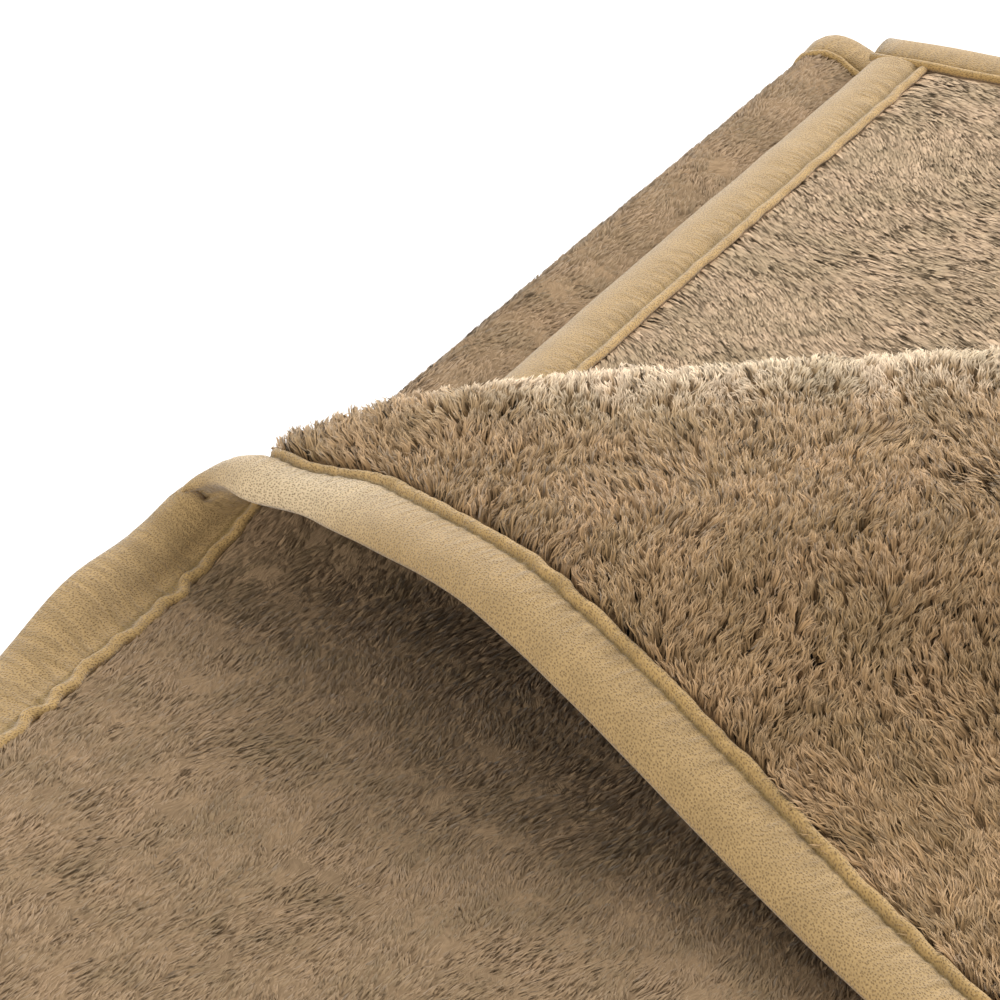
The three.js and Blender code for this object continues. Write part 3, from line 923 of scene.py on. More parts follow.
@dataclass(frozen=True)
class BindingFinish:
    """The knitted tape, paler on its body and deeper along its lip, with painted shade in its groove and in
    the rib hollows beside it, and a painted highlight along the roll's crest.

    Attributes:
        light: Colour of its body.
        crest_highlight: Painted highlight on its body along the crest of the roll, where the back light
            grazes it.
        deep: Colour of its lip.
        groove_shade: Painted shade in its groove, olive-tinted.
        pore: Colour of the pores between its stitches.
        pitch: Distance between its stitches in millimetres.
    """

    light: Colour = (0.40, 0.262, 0.110, 1.0)
    crest_highlight: Colour = (0.70, 0.545, 0.345, 1.0)
    deep: Colour = (0.46, 0.290, 0.105, 1.0)
    groove_shade: Colour = (0.24, 0.160, 0.055, 1.0)
    pore: Colour = (0.17, 0.100, 0.032, 1.0)
    pitch: float = 0.52

    def material(self, knit: bpy.types.NodeTree) -> bpy.types.Material:
        """Makes the material.

        Args:
            knit: The knit's node group.

        Returns:
            The material.
        """
        made, s, shader = plain_material("knitted_binding", 0.9)
        place = s.scaled(s.uv("tape"), 1000.0)
        stitched = s.group(knit, Place=place, Pitch=self.pitch, Unevenness=0.8)
        groove, lip = s.split(s.uv("zone"))
        near_groove, crest_highlit = s.split(s.uv("ribs"))
        run, over = s.split(place)
        rib_place = s.join(s.math("MULTIPLY", run, 0.72), s.math("MULTIPLY", over, 0.13))
        ribs = s.ramp(s.noise(rib_place, 1.0, 1.0, 0.4), 0.38, 0.62)
        # Painted highlight: the body is lightened along the crest of the roll.
        body = s.mix(s.math("MULTIPLY", crest_highlit, 0.8), self.light, self.crest_highlight)
        face = s.mix(s.math("MULTIPLY", lip, 0.8), body, self.deep)
        # Painted shade: the groove is darkened towards olive.
        groove_shaded = s.mix(s.math("MULTIPLY", groove, 0.85), face, self.groove_shade)
        broad = s.ramp(s.noise(place, 0.22, 3.0, 0.6), 0.3, 0.7, 0.93, 1.06)
        fuzzy = s.math("MULTIPLY", broad, s.ramp(stitched.outputs["Fuzz"], 0.3, 0.7, 0.86, 1.10))
        # Painted shade in the hollows between the ribs next to the groove.
        rib_hollow_shade = s.math("MULTIPLY", s.math("SUBTRACT", 1.0, ribs), s.math("MULTIPLY", near_groove, 0.22))
        tone = s.math("MULTIPLY", fuzzy, s.math("SUBTRACT", 1.0, rib_hollow_shade))
        pores = s.math("MULTIPLY", stitched.outputs["Pores"], 0.85)
        s.put(shader.inputs["Base Color"], s.mix(pores, s.toned(groove_shaded, tone), self.pore))
        ribbed = s.math("MULTIPLY", ribs, s.math("MULTIPLY", near_groove, 0.7))
        knitted = s.math("MULTIPLY", stitched.outputs["Height"], 0.6)
        s.bump(shader, s.math("ADD", knitted, ribbed), 0.6, 0.0003)
        shader.inputs["Sheen Weight"].default_value = 0.3
        shader.inputs["Sheen Roughness"].default_value = 0.5
        return made


def plain_material(name: str, roughness: float) -> tuple[bpy.types.Material, Shader, bpy.types.Node]:
    """Starts a matt material.

    Args:
        name: Its name.
        roughness: Its roughness.

    Returns:
        The material, a helper for its nodes and its Principled BSDF.
    """
    made = bpy.data.materials.new(name)
    made.use_nodes = True
    shader = made.node_tree.nodes["Principled BSDF"]
    shader.inputs["Roughness"].default_value = roughness
    shader.inputs["Specular IOR Level"].default_value = 0.2
    return made, Shader(made.node_tree), shader


# The pieces


@dataclass
class GroundCloth:
    """The knitted ground of the blanket as one closed sheet, pressed flat inside the bindings.

    Attributes:
        cloth: The shape in which it lies.
        short_off: How far its short-pile face stands from the middle of the cloth.
        long_off: How far the ground under the long pile stands from it.
        pressed: Half its thickness inside the bindings.
        inside: How far in from an edge it is pressed.
        clear: How far in from an edge it has its full thickness.
        margin: How far in from a side its columns of vertices stand further apart.
        fine_reach: How far from the top end its rows of vertices are close together.
        fine: Distance between them there.
        coarse: Distance between them elsewhere.
        in_arc: Distance between them in an arc.
        in_rise: Distance between them in an eased step.
    """

    cloth: FoldedCloth
    short_off: float = 1.45
    long_off: float = 0.45
    pressed: float = 0.6
    inside: float = 9.4
    clear: float = 11.2
    margin: float = 22.0
    fine_reach: float = 205.0
    fine: float = 2.9
    coarse: float = 8.0
    in_arc: float = 0.9
    in_rise: float = 1.5

    def lines_along(self) -> Array:
        """Chooses the places along the cloth of its rows of vertices.

        Returns:
            The places, in order.
        """
        c = self.cloth
        rows = [np.array([0.0, 4.0, self.inside, self.clear])]
        for run in c.runs:
            spacing = self.in_arc if run.radius else (self.in_rise if run.rise else self.coarse)
            count = max(2, round(run.length / spacing))
            rows.append(run.start + run.length * np.arange(1, count + 1) / count)
        far = np.arange(c.outer_fold_x - self.coarse, self.fine_reach, -self.coarse)
        near = np.arange(self.fine_reach, self.clear + 1.0, -self.fine)
        rows.append(c.length - np.concatenate([far, near]))
        rows.append(c.length - np.array([self.clear, self.inside, 4.0, 0.0]))
        places = np.unique(np.round(np.concatenate(rows), 4))
        crowded = (places > 0.5) & (places < self.clear - 0.1) & ~np.isin(places, [4.0, self.inside])
        return places[~crowded]

    def lines_across(self) -> Array:
        """Chooses the places across the cloth of its columns of vertices.

        Returns:
            The places, in order.
        """
        width = self.cloth.width
        middle = np.concatenate([
            np.arange(self.clear, self.margin, 5.0),
            np.arange(self.margin, width - self.clear - 0.5, self.fine * 1.2),
        ])
        edge = np.array([0.0, 4.0, self.inside])
        return np.concatenate([edge, middle, [width - self.clear], (width - edge)[::-1]])

    def offsets(self, u: Array, v: Array, side: Side) -> Array:
        """Works out how far a face stands from the middle of the cloth.

        Args:
            u: Places along the cloth.
            v: Places across it.
            side: The face.

        Returns:
            Distances along the cloth's normal.
        """
        full = self.short_off if side is Side.SHORT_PILE else self.long_off
        edge = self.cloth.edge_distance(u, v)
        rise = np.clip((edge - self.inside) / (self.clear - self.inside), 0.0, 1.0)
        lumps = 0.16 * Unevenness(9.0, 11).at(u, v) + 0.07 * Unevenness(3.6, 12).at(u, v)
        return side.value * (self.pressed + rise * (full - self.pressed + lumps))

    def make(self, material: bpy.types.Material) -> bpy.types.Object:
        """Makes the sheet.

        Args:
            material: Its material.

        Returns:
            The piece.
        """
        c = self.cloth
        along, across = self.lines_along(), self.lines_across()
        u, v = [g.ravel() for g in np.meshgrid(along, across, indexing="ij")]
        middle, _, _, normal = c.frames(u, v)
        shells = [middle + normal * self.offsets(u, v, side)[:, None] for side in Side]
        count = len(u)
        number = np.arange(count).reshape(len(along), len(across))
        corners = (number[:-1, :-1], number[:-1, 1:], number[1:, 1:], number[1:, :-1])
        quads = np.stack(corners, -1).reshape(-1, 4)
        ring = np.concatenate([number[0, :-1], number[:-1, -1], number[-1, :0:-1], number[:0:-1, 0]])
        after = np.roll(ring, -1)
        rim = np.stack([ring, ring + count, after + count, after], -1)
        flat = np.stack([u, v], -1) / 1000.0
        combed = (u < c.path_end).astype(float)
        on_side = [np.stack([np.full(count, is_long), combed], -1) for is_long in (0.0, 1.0)]
        plan = MeshPlan(
            c.placed(np.concatenate(shells)),
            [quads, quads[:, ::-1] + count, rim],
            {"flat": np.concatenate([flat, flat]), "side": np.concatenate(on_side)},
        )
        return plan.make("fleece_ground", material)


@dataclass(frozen=True)
class PileStyle:
    """How the fibres of one area of pile stand.

    Attributes:
        nap: The kind of pile.
        side: The face on which it stands.
        ground: How far its roots stand from the middle of the cloth.
        density: Strands in a square millimetre.
        length: Of a strand, in millimetres.
        height: How far its tip stands from the ground.
        width: Of a strand at its widest.
        lock: Distance between the middles of neighbouring locks.
        gather: Share by which tips are drawn to the middle of their lock.
        clump: Distance between larger clumps of locks.
        clump_gather: Share by which tips are drawn to the middle of their clump.
        rows: Rows of vertices of a strand before its tip.
        stray: Random turn of a strand's lay, in radians.
        lock_turn: Random turn of a lock's lay, in radians.
        wave: Sideways wave of a lock, in millimetres.
        tuft: How round each lock is shaded.
    """

    nap: Nap
    side: Side
    ground: float
    density: float
    length: float
    height: float
    width: float
    lock: float
    gather: float
    clump: float = 5.0
    clump_gather: float = 0.2
    rows: int = 3
    stray: float = 0.15
    lock_turn: float = 0.35
    wave: float = 0.25
    tuft: float = 0.5


@dataclass
class Roots:
    """Roots of strands, and the directions of the cloth there.

    Attributes:
        u: Their places along the cloth.
        v: Their places across it.
        middle: Points of the middle of the cloth.
        along: Directions along it.
        across: Directions across it.
        normal: Directions out of the face.
    """

    u: Array
    v: Array
    middle: Array
    along: Array
    across: Array
    normal: Array

    def way(self, u: Array, v: Array) -> Array:
        """Returns the way from each root to another flat place."""
        return self.along * (u - self.u)[:, None] + self.across * (v - self.v)[:, None]

    def lean(self, turn: Array) -> Array:
        """Returns the directions in the face that lie at angles from +X."""
        flat = np.stack([np.cos(turn), np.sin(turn), np.zeros(len(turn))], -1)
        return unit(flat - self.normal * np.sum(flat * self.normal, -1)[:, None])


@dataclass
class PileArea:
    """A part of one face of the cloth that is covered with strands.

    Attributes:
        name: Name of the piece, with a number added where it is made in several.
        cloth: The shape of the cloth.
        style: How the strands stand.
        reach: Where it lies along the cloth.
        lay: Function from points to the direction in which the tips point, in radians from +X, and to how
            far the pile is pressed down, from 0 to 1.
        keep: Function from flat places, points and normals to the share of strands kept there.
        seed: Seed of its random draws.
        margin: How far in from the sides of the cloth it starts.
        limit: How many triangles a piece may have.
        taper: Width of a strand at its rows of vertices, as a share of its full width.
        ridge_past: Where the pile opens, and its tips carry the painted ridge highlight, along the ridge of
            the turned-over corner.
        ridge_spread: How wide that ridge is.
    """

    name: str
    cloth: FoldedCloth
    style: PileStyle
    reach: tuple[float, float]
    lay: Lay
    keep: Keep
    seed: int
    margin: float = 10.0
    limit: int = 190000
    taper: tuple[float, ...] = (0.75, 1.0, 0.85, 0.6)
    ridge_past: float = 35.0
    ridge_spread: float = 16.0

    def roots(self, rng: np.random.Generator) -> Roots:
        """Scatters the roots, jittered on an even grid, and keeps those that are wanted.

        Args:
            rng: The random draws.

        Returns:
            The roots.
        """
        step = 1.0 / math.sqrt(self.style.density)
        u = np.arange(self.reach[0], self.reach[1], step)
        v = np.arange(self.margin, self.cloth.width - self.margin, step)
        u, v = [g.ravel() for g in np.meshgrid(u, v, indexing="ij")]
        u = u + rng.uniform(0.0, step, u.shape)
        v = v + rng.uniform(0.0, step, v.shape)
        clear = self.cloth.clear_of_bindings(u, v, self.style.side)
        u, v = u[clear], v[clear]
        middle, along, across, normal = self.cloth.frames(u, v)
        normal = normal * self.style.side.value
        kept = rng.uniform(0.0, 1.0, u.shape) < self.keep(u, v, middle, normal)
        return Roots(*[a[kept] for a in (u, v, middle, along, across, normal)])

    def nearest(self, u: Array, v: Array, spacing: float, seed: int) -> tuple[Array, Array, Array]:
        """Finds the middle of the lock or clump that each root belongs to.

        Args:
            u: Places along the cloth.
            v: Places across it.
            spacing: Distance between middles.
            seed: Seed of their jitter.

        Returns:
            The middle's u and v, and a whole number for each middle.
        """
        cell_u, cell_v = np.floor(u / spacing).astype(int), np.floor(v / spacing).astype(int)
        best = np.full(u.shape, 1e9)
        best_u, best_v = u.copy(), v.copy()
        best_key = np.zeros(u.shape, int)
        for du in (-1, 0, 1):
            for dv in (-1, 0, 1):
                a, b = cell_u + du, cell_v + dv
                key = a * 7919 + b * 104729 + seed * 1299709
                mid_u = (a + 0.5 + 0.42 * hashed(key, 1)) * spacing
                mid_v = (b + 0.5 + 0.42 * hashed(key, 2)) * spacing
                away = (mid_u - u) ** 2 + (mid_v - v) ** 2
                nearer = away < best
                best = np.where(nearer, away, best)
                best_u = np.where(nearer, mid_u, best_u)
                best_v = np.where(nearer, mid_v, best_v)
                best_key = np.where(nearer, key, best_key)
        return best_u, best_v, best_key

    def ridge_opening_and_highlight(self, root: Roots) -> Array:
        """Works out how far the pile opens along the ridge of the turned-over corner, which also sets how
        much painted highlight its tips get.

        Args:
            root: The roots.

        Returns:
            Values from 0 to 1.
        """
        c = self.cloth
        inward = c.length - root.u
        past = c.past_line(inward, c.front_y + root.v)
        on_top = (self.style.side is Side.LONG_PILE) * (root.u > c.path_end)
        share = 0.4 + 0.6 * smoothstep((inward - 12.0) / 30.0)
        return bell(past, self.ridge_past, self.ridge_spread) * on_top * share

    def make(self, material: bpy.types.Material) -> list[bpy.types.Object]:
        """Makes the strands.

        Args:
            material: Their material.

        Returns:
            The pieces, each under the limit of triangles.
        """
        style = self.style
        rng = np.random.default_rng(self.seed)
        root = self.roots(rng)
        count = len(root.u)
        lock_u, lock_v, lock = self.nearest(root.u, root.v, style.lock, 1)
        clump_u, clump_v, clump = self.nearest(lock_u, lock_v, style.clump, 2)
        to_lock, to_clump = root.way(lock_u, lock_v), root.way(clump_u, clump_v)
        turn, press = self.lay(root.middle)
        turn = turn + style.lock_turn * (hashed(lock, 3) + hashed(clump, 4))
        lean = root.lean(turn + style.stray * rng.normal(size=count))
        sideways = np.cross(root.normal, lean)
        size = 1.0 + 0.22 * hashed(lock, 5) + 0.1 * rng.normal(size=count)
        size = size * (1.0 + 0.9 * press)
        # The pile's opening along the ridge shortens the strands and also drives a painted highlight on
        # their tips.
        open_and_highlit = self.ridge_opening_and_highlight(root)
        uneven = 1.0 + 0.25 * hashed(lock, 6) + 0.2 * hashed(clump, 7) + 0.12 * rng.normal(size=count)
        tall = style.height * (1.0 - 0.35 * open_and_highlit) * uneven * (1.0 - 0.75 * press)
        wave = style.wave * (hashed(lock, 8) + 0.3 * rng.normal(size=count))
        twist = rng.uniform(-0.9, 0.9, count)[:, None]
        flatwise = sideways * np.cos(twist) + root.normal * np.sin(twist)
        foot = root.middle + root.normal * style.ground
        steps = np.linspace(0.0, 1.0, style.rows + 1)
        rows = []
        for step in steps:
            up = tall * (1.0 - (1.0 - step) ** 1.8)
            out = style.length * size * step ** 1.25
            bow = wave * math.sin(2.2 * math.pi * step)
            drawn = to_lock * (style.gather * step ** 0.8) + to_clump * (style.clump_gather * step ** 1.3)
            grown = root.normal * up[:, None] + lean * out[:, None] + sideways * bow[:, None]
            rows.append(foot + grown + drawn)
        sides = [row + flatwise * style.width * share * way / 2
                 for row, share in zip(rows[:-1], self.taper) for way in (-1.0, 1.0)]
        rounded = root.normal - to_lock * 2.0 / style.lock * style.tuft + 0.12 * rng.normal(size=(count, 3))
        facings = [unit(rounded + (lean * 0.35 + root.normal * 0.3) * step) for step in steps]
        facing = [f for f in facings[:-1] for _ in (0, 1)] + facings[-1:]
        maps = self.maps(root, steps, hashed(lock, 9), open_and_highlit, rng)
        return self.pieces(np.stack([*sides, rows[-1]], axis=1), np.stack(facing, axis=1), maps, material)

    def maps(self, root: Roots, steps: Array, lock: Array, open_and_highlit: Array,
             rng: np.random.Generator) -> dict[str, Array]:
        """Works out the strands' UV maps.

        Args:
            root: Their roots.
            steps: Heights of their rows of vertices, from 0 to 1.
            lock: Random value of each strand's lock.
            open_and_highlit: How far the pile is open there, which also moves its colour on towards the
                painted ridge highlight.
            rng: The random draws.

        Returns:
            Maps across and along the strands, of the random values of lock and fibre, and of flat places.
        """
        count, per = len(root.u), 2 * self.style.rows + 1
        strand = np.zeros((count, per, 2))
        for row in range(self.style.rows):
            strand[:, 2 * row + 1, 0] = 1.0
            strand[:, 2 * row : 2 * row + 2, 1] = steps[row]
        strand[:, -1] = (0.5, 1.0)
        # Painted highlight: along the ridge the colour place is pushed on towards the ridge highlight.
        strand[:, :, 1] = np.minimum(1.6, strand[:, :, 1] + 0.8 * open_and_highlit[:, None])
        chance = np.stack([lock * 0.5 + 0.5, rng.uniform(0.0, 1.0, count)], -1)
        flat = np.stack([root.u, root.v], -1) / 1000.0
        lock_map, flat_map = [np.repeat(value[:, None], per, axis=1) for value in (chance, flat)]
        return {"strand": strand, "lock": lock_map, "flat": flat_map}

    def pieces(self, stack: Array, facing: Array, maps: dict[str, Array],
               material: bpy.types.Material) -> list[bpy.types.Object]:
        """Makes the strands' meshes.

        Args:
            stack: Vertices of each strand.
            facing: Direction that the nap faces at each vertex.
            maps: UV maps of each strand's vertices.
            material: The material.

        Returns:
            The pieces.
        """
        per, triangles = stack.shape[1], 2 * self.style.rows - 1
        most = self.limit // triangles
        made = []
        total = max(1, math.ceil(len(stack) / most))
        for part, chosen in enumerate(np.array_split(np.arange(len(stack)), total)):
            first = (np.arange(len(chosen)) * per)[:, None]
            corners = np.array([0, 1, 3, 2])
            quads = np.concatenate([first + 2 * row + corners for row in range(self.style.rows - 1)])
            tips = first + np.array([per - 3, per - 2, per - 1])
            plan = MeshPlan(
                self.cloth.placed(stack[chosen].reshape(-1, 3)),
                [quads, tips],
                {key: values[chosen].reshape(-1, 2) for key, values in maps.items()},
                facing[chosen].reshape(-1, 3),
            )
            name = self.name if total == 1 else f"{self.name}_{part + 1}"
            made.append(plan.make(name, material))
        return made


def hashed(key: Array, salt: int) -> Array:
    """Turns whole numbers into even random values, the same on every run.

    Args:
        key: The numbers.
        salt: Number of the series that is drawn.

    Returns:
        Values from -1 to 1.
    """
    mixed = (key.astype(np.int64) * 2654435761 + salt * 40503 * 65537) & 0xFFFFFFFF
    mixed = ((mixed >> 16) ^ mixed) * 73244475 & 0xFFFFFFFF
    mixed = ((mixed >> 16) ^ mixed) * 73244475 & 0xFFFFFFFF
    mixed = (mixed >> 16) ^ mixed
    return mixed.astype(float) / 2147483648.0 - 1.0


class Edge(Enum):
    """The edges of the cloth, named as their nodes are."""

    FRONT = "front_binding"
    BACK = "back_binding"
    LOWER_END = "lower_end_binding"
    TOP_END = "top_end_binding"


@dataclass
class Binding:
    """One length of knitted tape folded over an edge, with a plump body, a stitched groove and a raised lip.

    Attributes:
        cloth: The shape of the cloth.
        edge: The edge that it covers.
        profile: Distance in from the edge and height from the cloth's middle, from the lip to the rim.
        inner: Half the gap between the tape's two halves, where the cloth lies.
        tuck: How far from a side the tape of an end starts and stops.
        spacing: Distance between rings where the camera sees them.
        coarse: Distance between them elsewhere.
        lip_start: How far in from the edge its lip begins.
        beside: Width of the strip outside the picture in which rings are still close together, in pixels.
    """

    cloth: FoldedCloth
    edge: Edge
    profile: tuple[tuple[float, float], ...] = (
        (10.15, 0.80), (10.40, 1.20), (10.36, 1.66), (10.08, 2.02), (9.66, 2.20), (9.22, 2.16), (8.86, 1.92),
        (8.62, 1.58), (8.44, 1.34), (8.24, 1.30), (8.02, 1.44), (7.70, 1.66), (7.10, 1.92), (6.20, 2.14),
        (5.20, 2.30), (4.20, 2.38), (3.20, 2.36), (2.20, 2.24), (1.30, 2.00), (0.50, 1.68), (-0.20, 1.28),
        (-0.75, 0.80), (-1.08, 0.40), (-1.18, 0.0),
    )
    inner: float = 0.72
    tuck: float = 10.3
    spacing: float = 0.55
    coarse: float = 4.4
    lip_start: float = 8.5
    beside: float = 100.0

    def place(self, station: Array, inward: Array) -> tuple[Array, Array]:
        """Finds flat places on the cloth.

        Args:
            station: Places along the edge.
            inward: Distances in from it.

        Returns:
            Places along the cloth and across it.
        """
        c = self.cloth
        if self.edge is Edge.FRONT:
            return station, inward
        if self.edge is Edge.BACK:
            return station, c.width - inward
        if self.edge is Edge.LOWER_END:
            return inward, station
        return c.length - inward, station

    def stations(self, view: Viewpoint) -> Array:
        """Chooses the places along the edge of the tape's rings, close together where the camera sees them.

        Args:
            view: The camera.

        Returns:
            The places, in order.
        """
        c = self.cloth
        rim = self.profile[-1][0]
        lengthwise = self.edge in (Edge.FRONT, Edge.BACK)
        start, end = (rim, c.length - rim) if lengthwise else (self.tuck, c.width - self.tuck)
        fine = np.arange(start, end, self.spacing)
        order = np.arange(len(fine))
        u, v = self.place(fine, np.full(fine.shape, 4.0))
        half = view.picture / 2.0
        off_centre = np.abs(view.pixels(c.placed(c.point(u, v)) * 1000.0) - half)
        chosen = np.all(off_centre < half + self.beside, axis=-1)
        if lengthwise:
            chosen &= u > c.path_end
            for run in c.runs:
                if run.radius or run.rise:
                    folded = (u > run.start - 2.0) & (u < run.start + run.length + 2.0)
                    chosen |= folded & (order % 2 == 0)
        if self.edge is Edge.LOWER_END:
            chosen &= order % 2 == 0
        chosen |= order % round(self.coarse / self.spacing) == 0
        return np.append(fine[chosen], end)

    def section(self) -> Array:
        """Works out the closed outline of the tape.

        Returns:
            Distance in, height, and 1 where a point is on the outside, one point a row.
        """
        outer = np.array([(d, h, 1.0) for d, h in self.profile])
        under = outer[:-1][::-1] * (1.0, -1.0, 1.0)
        inside = [(d, -self.inner, 0.0) for d in (10.0, 5.0, -0.35)]
        inside += [(d, self.inner, 0.0) for d in (-0.35, 5.0, 10.0)]
        return np.concatenate([outer, under, np.array(inside)])

    def make(self, view: Viewpoint, material: bpy.types.Material) -> bpy.types.Object:
        """Makes the binding.

        Args:
            view: The camera, near whose picture the rings are close together.
            material: Its material.

        Returns:
            The piece.
        """
        stations, section = self.stations(view), self.section()
        s, d = np.meshgrid(stations, section[:, 0], indexing="ij")
        h = np.broadcast_to(section[:, 1], s.shape).copy()
        outside = np.broadcast_to(section[:, 2], s.shape)
        salt = list(Edge).index(self.edge) * 10
        top = h > 0
        face = np.where(top, 0.0, 400.0)
        lip = smoothstep((d - 8.1) / 0.6) * outside
        sway = 0.28 * Unevenness(6.5, 21 + salt).at(s, face)
        d = d + lip * sway * np.where(top, 1.6, 0.55)
        pucker = Unevenness(2.1, 22 + salt).at(s, d * 0.35)
        slow = Unevenness(17.0, 23 + salt).at(s, face)
        gathered = 0.10 * smoothstep((d - 2.0) / 4.0) * (1.0 - lip) * outside + 0.07 * lip
        h = h + np.sign(h) * outside * (gathered * pucker + 0.07 * slow)
        d, h = self.eased(s, d, h, outside)
        return self.piece(self.over_cloth(s, d, h), stations, section, material)

    def over_cloth(self, s: Array, d: Array, h: Array) -> Array:
        """Returns points at heights over the cloth, whose sharpest bends the thick tape rounds off.

        Args:
            s: Places along the edge.
            d: Distances in from it.
            h: Heights from the cloth's middle.

        Returns:
            The points, one a row.
        """
        around = [(0.0, 0.0)]
        if self.edge is Edge.TOP_END:
            around = [(a, b) for a in (-3.0, 0.0, 3.0) for b in (-3.0, -1.5, 0.0, 1.5, 3.0)]
        middle = np.zeros(s.shape + (3,))
        normal = np.zeros(s.shape + (3,))
        for along, inward in around:
            u, v = self.place(s + along, d + inward)
            here, _, _, out = self.cloth.frames(u, v)
            middle += here / len(around)
            normal += out
        return middle + unit(normal) * h[..., None]

    def eased(self, s: Array, d: Array, h: Array, outside: Array) -> tuple[Array, Array]:
        """Fits the tape to its edge: lower on the roll's crest, plump inside it, flat under a thick nap.

        Args:
            s: Places along the edge.
            d: Distances in from it.
            h: Heights from the cloth's middle.
            outside: 1 where a point is on the outside.

        Returns:
            The distances and heights that are used.
        """
        c = self.cloth
        if self.edge is Edge.LOWER_END:
            covered = smoothstep((d - 7.2) / 1.6) * (h < 0.0) * outside
            return d, h * (1.0 - 0.22 * covered)
        if self.edge is not Edge.TOP_END:
            return d, h
        from_rim = d - self.profile[-1][0]
        share = np.clip(from_rim / 11.3, 0.0, 1.0)
        past = c.past_line(d, c.front_y + s)
        crest = c.crest(past)
        in_roll = (h > 0.0) * outside
        swell = np.sin(math.pi * np.clip(from_rim / 9.4, 0.0, 1.0))
        plump = (1.1 * bell(past, 9.4, 28.0) + crest) * (1.0 - 0.85 * bell(past, 29.0, 8.0))
        filled = 0.5 * bell(d, 8.2, 0.9)
        rim_out = 2.975 * crest * smoothstep((past - 30.0) / 16.0) + 2.1 * bell(past, 26.5, 10.5)
        lip_out = c.crest_shift * crest * (h <= 0.0)
        return d - rim_out * (1.0 - share) - lip_out * share, h + (swell * plump + filled) * in_roll

    def piece(self, points: Array, stations: Array, section: Array,
              material: bpy.types.Material) -> bpy.types.Object:
        """Makes the mesh.

        Args:
            points: Rings of points.
            stations: Their places along the edge.
            section: The outline.
            material: The material.

        Returns:
            The piece.
        """
        rings, around = points.shape[:2]
        number = np.arange(rings * around).reshape(rings, around)
        after = np.roll(number, -1, axis=1)
        quads = np.stack([number[:-1], after[:-1], after[1:], number[1:]], -1).reshape(-1, 4)
        flipped = self.edge in (Edge.BACK, Edge.LOWER_END)
        if flipped:
            quads = quads[:, ::-1]
        half = len(self.profile) - 1
        caps = []
        for ring, turned in ((number[0], not flipped), (number[-1], flipped)):
            cap = self.cap(ring, half)
            caps.append(cap[:, ::-1] if turned else cap)
        hop = np.linalg.norm(np.diff(points, axis=1), axis=-1)
        round_it = np.concatenate([np.zeros((rings, 1)), np.cumsum(hop, axis=1)], axis=1)
        round_it -= round_it[:, half : half + 1]
        along = np.broadcast_to(stations[:, None], (rings, around))
        tape = np.stack([along, round_it], -1).reshape(-1, 2) / 1000.0
        distance, height, outside = section.T
        # Where the groove's painted shade falls.
        groove = bell(distance, 8.25, 0.36) * outside
        lip = (distance > self.lip_start) * outside
        ribbed = np.clip(1.0 - np.abs(distance - 7.2) / 4.2, 0.0, 1.0)
        ribbed = np.maximum(ribbed, 0.75 * (height > 0.0) * (distance < 8.4)) * outside
        zone = np.broadcast_to(np.stack([groove, lip], -1), (rings, around, 2)).reshape(-1, 2)
        past = self.cloth.past_line(distance[None, :], self.cloth.front_y + stations[:, None])
        # Painted highlight along the crest of the top end's binding, carried in the second part of the ribs
        # map.
        crest_highlit = bell(past, 47.0, 12.0) * (self.edge is Edge.TOP_END)
        ribs = np.stack([np.broadcast_to(ribbed, past.shape), crest_highlit], -1).reshape(-1, 2)
        plan = MeshPlan(self.cloth.placed(points.reshape(-1, 3)), [quads, *caps],
                        {"tape": tape, "zone": zone, "ribs": ribs})
        return plan.make(f"knitted_{self.edge.value}", material)

    def cap(self, ring: Array, half: int) -> Array:
        """Returns triangles that close an end of the tape.

        Args:
            ring: Vertex numbers of the end.
            half: Number of the outline's point on the rim.

        Returns:
            Rows of three vertex numbers.
        """
        outer = 2 * half + 1
        inner = ring[outer:]
        near = next(i for i in range(half) if self.profile[i + 1][0] <= 7.5)
        far = half - 3
        rows = []
        for i in range(half):
            post = 0 if i < near else (1 if i + 1 < far else 2)
            rows.append((ring[i], ring[i + 1], inner[5 - post]))
            rows.append((ring[outer - 2 - i], ring[outer - 1 - i], inner[post]))
        rows.append((ring[near], inner[4], inner[5]))
        rows.append((ring[far - 1], inner[3], inner[4]))
        rows.append((inner[0], inner[1], ring[outer - 1 - near]))
        rows.append((inner[1], inner[2], ring[outer - far]))
        rows.append((ring[half], inner[2], inner[3]))
        return np.array(rows)


@dataclass(frozen=True)
class Softbox:
    """One soft square light.

    Attributes:
        name: Its name.
        place: Where it hangs, in metres.
        size: Its side in metres.
        watts: Its power.
    """

    name: str
    place: tuple[float, float, float]
    size: float
    watts: float

    def hang(self, aim: Vector) -> bpy.types.Object:
        """Adds the light.

        Args:
            aim: The point that it faces.

        Returns:
            The light.
        """
        data = bpy.data.lights.new(self.name, "AREA")
        data.size = self.size
        data.energy = self.watts
        light = bpy.data.objects.new(self.name, data)
        light.location = self.place
        light.rotation_euler = (aim - Vector(self.place)).to_track_quat("-Z", "Y").to_euler()
        bpy.context.scene.collection.objects.link(light)
        return light


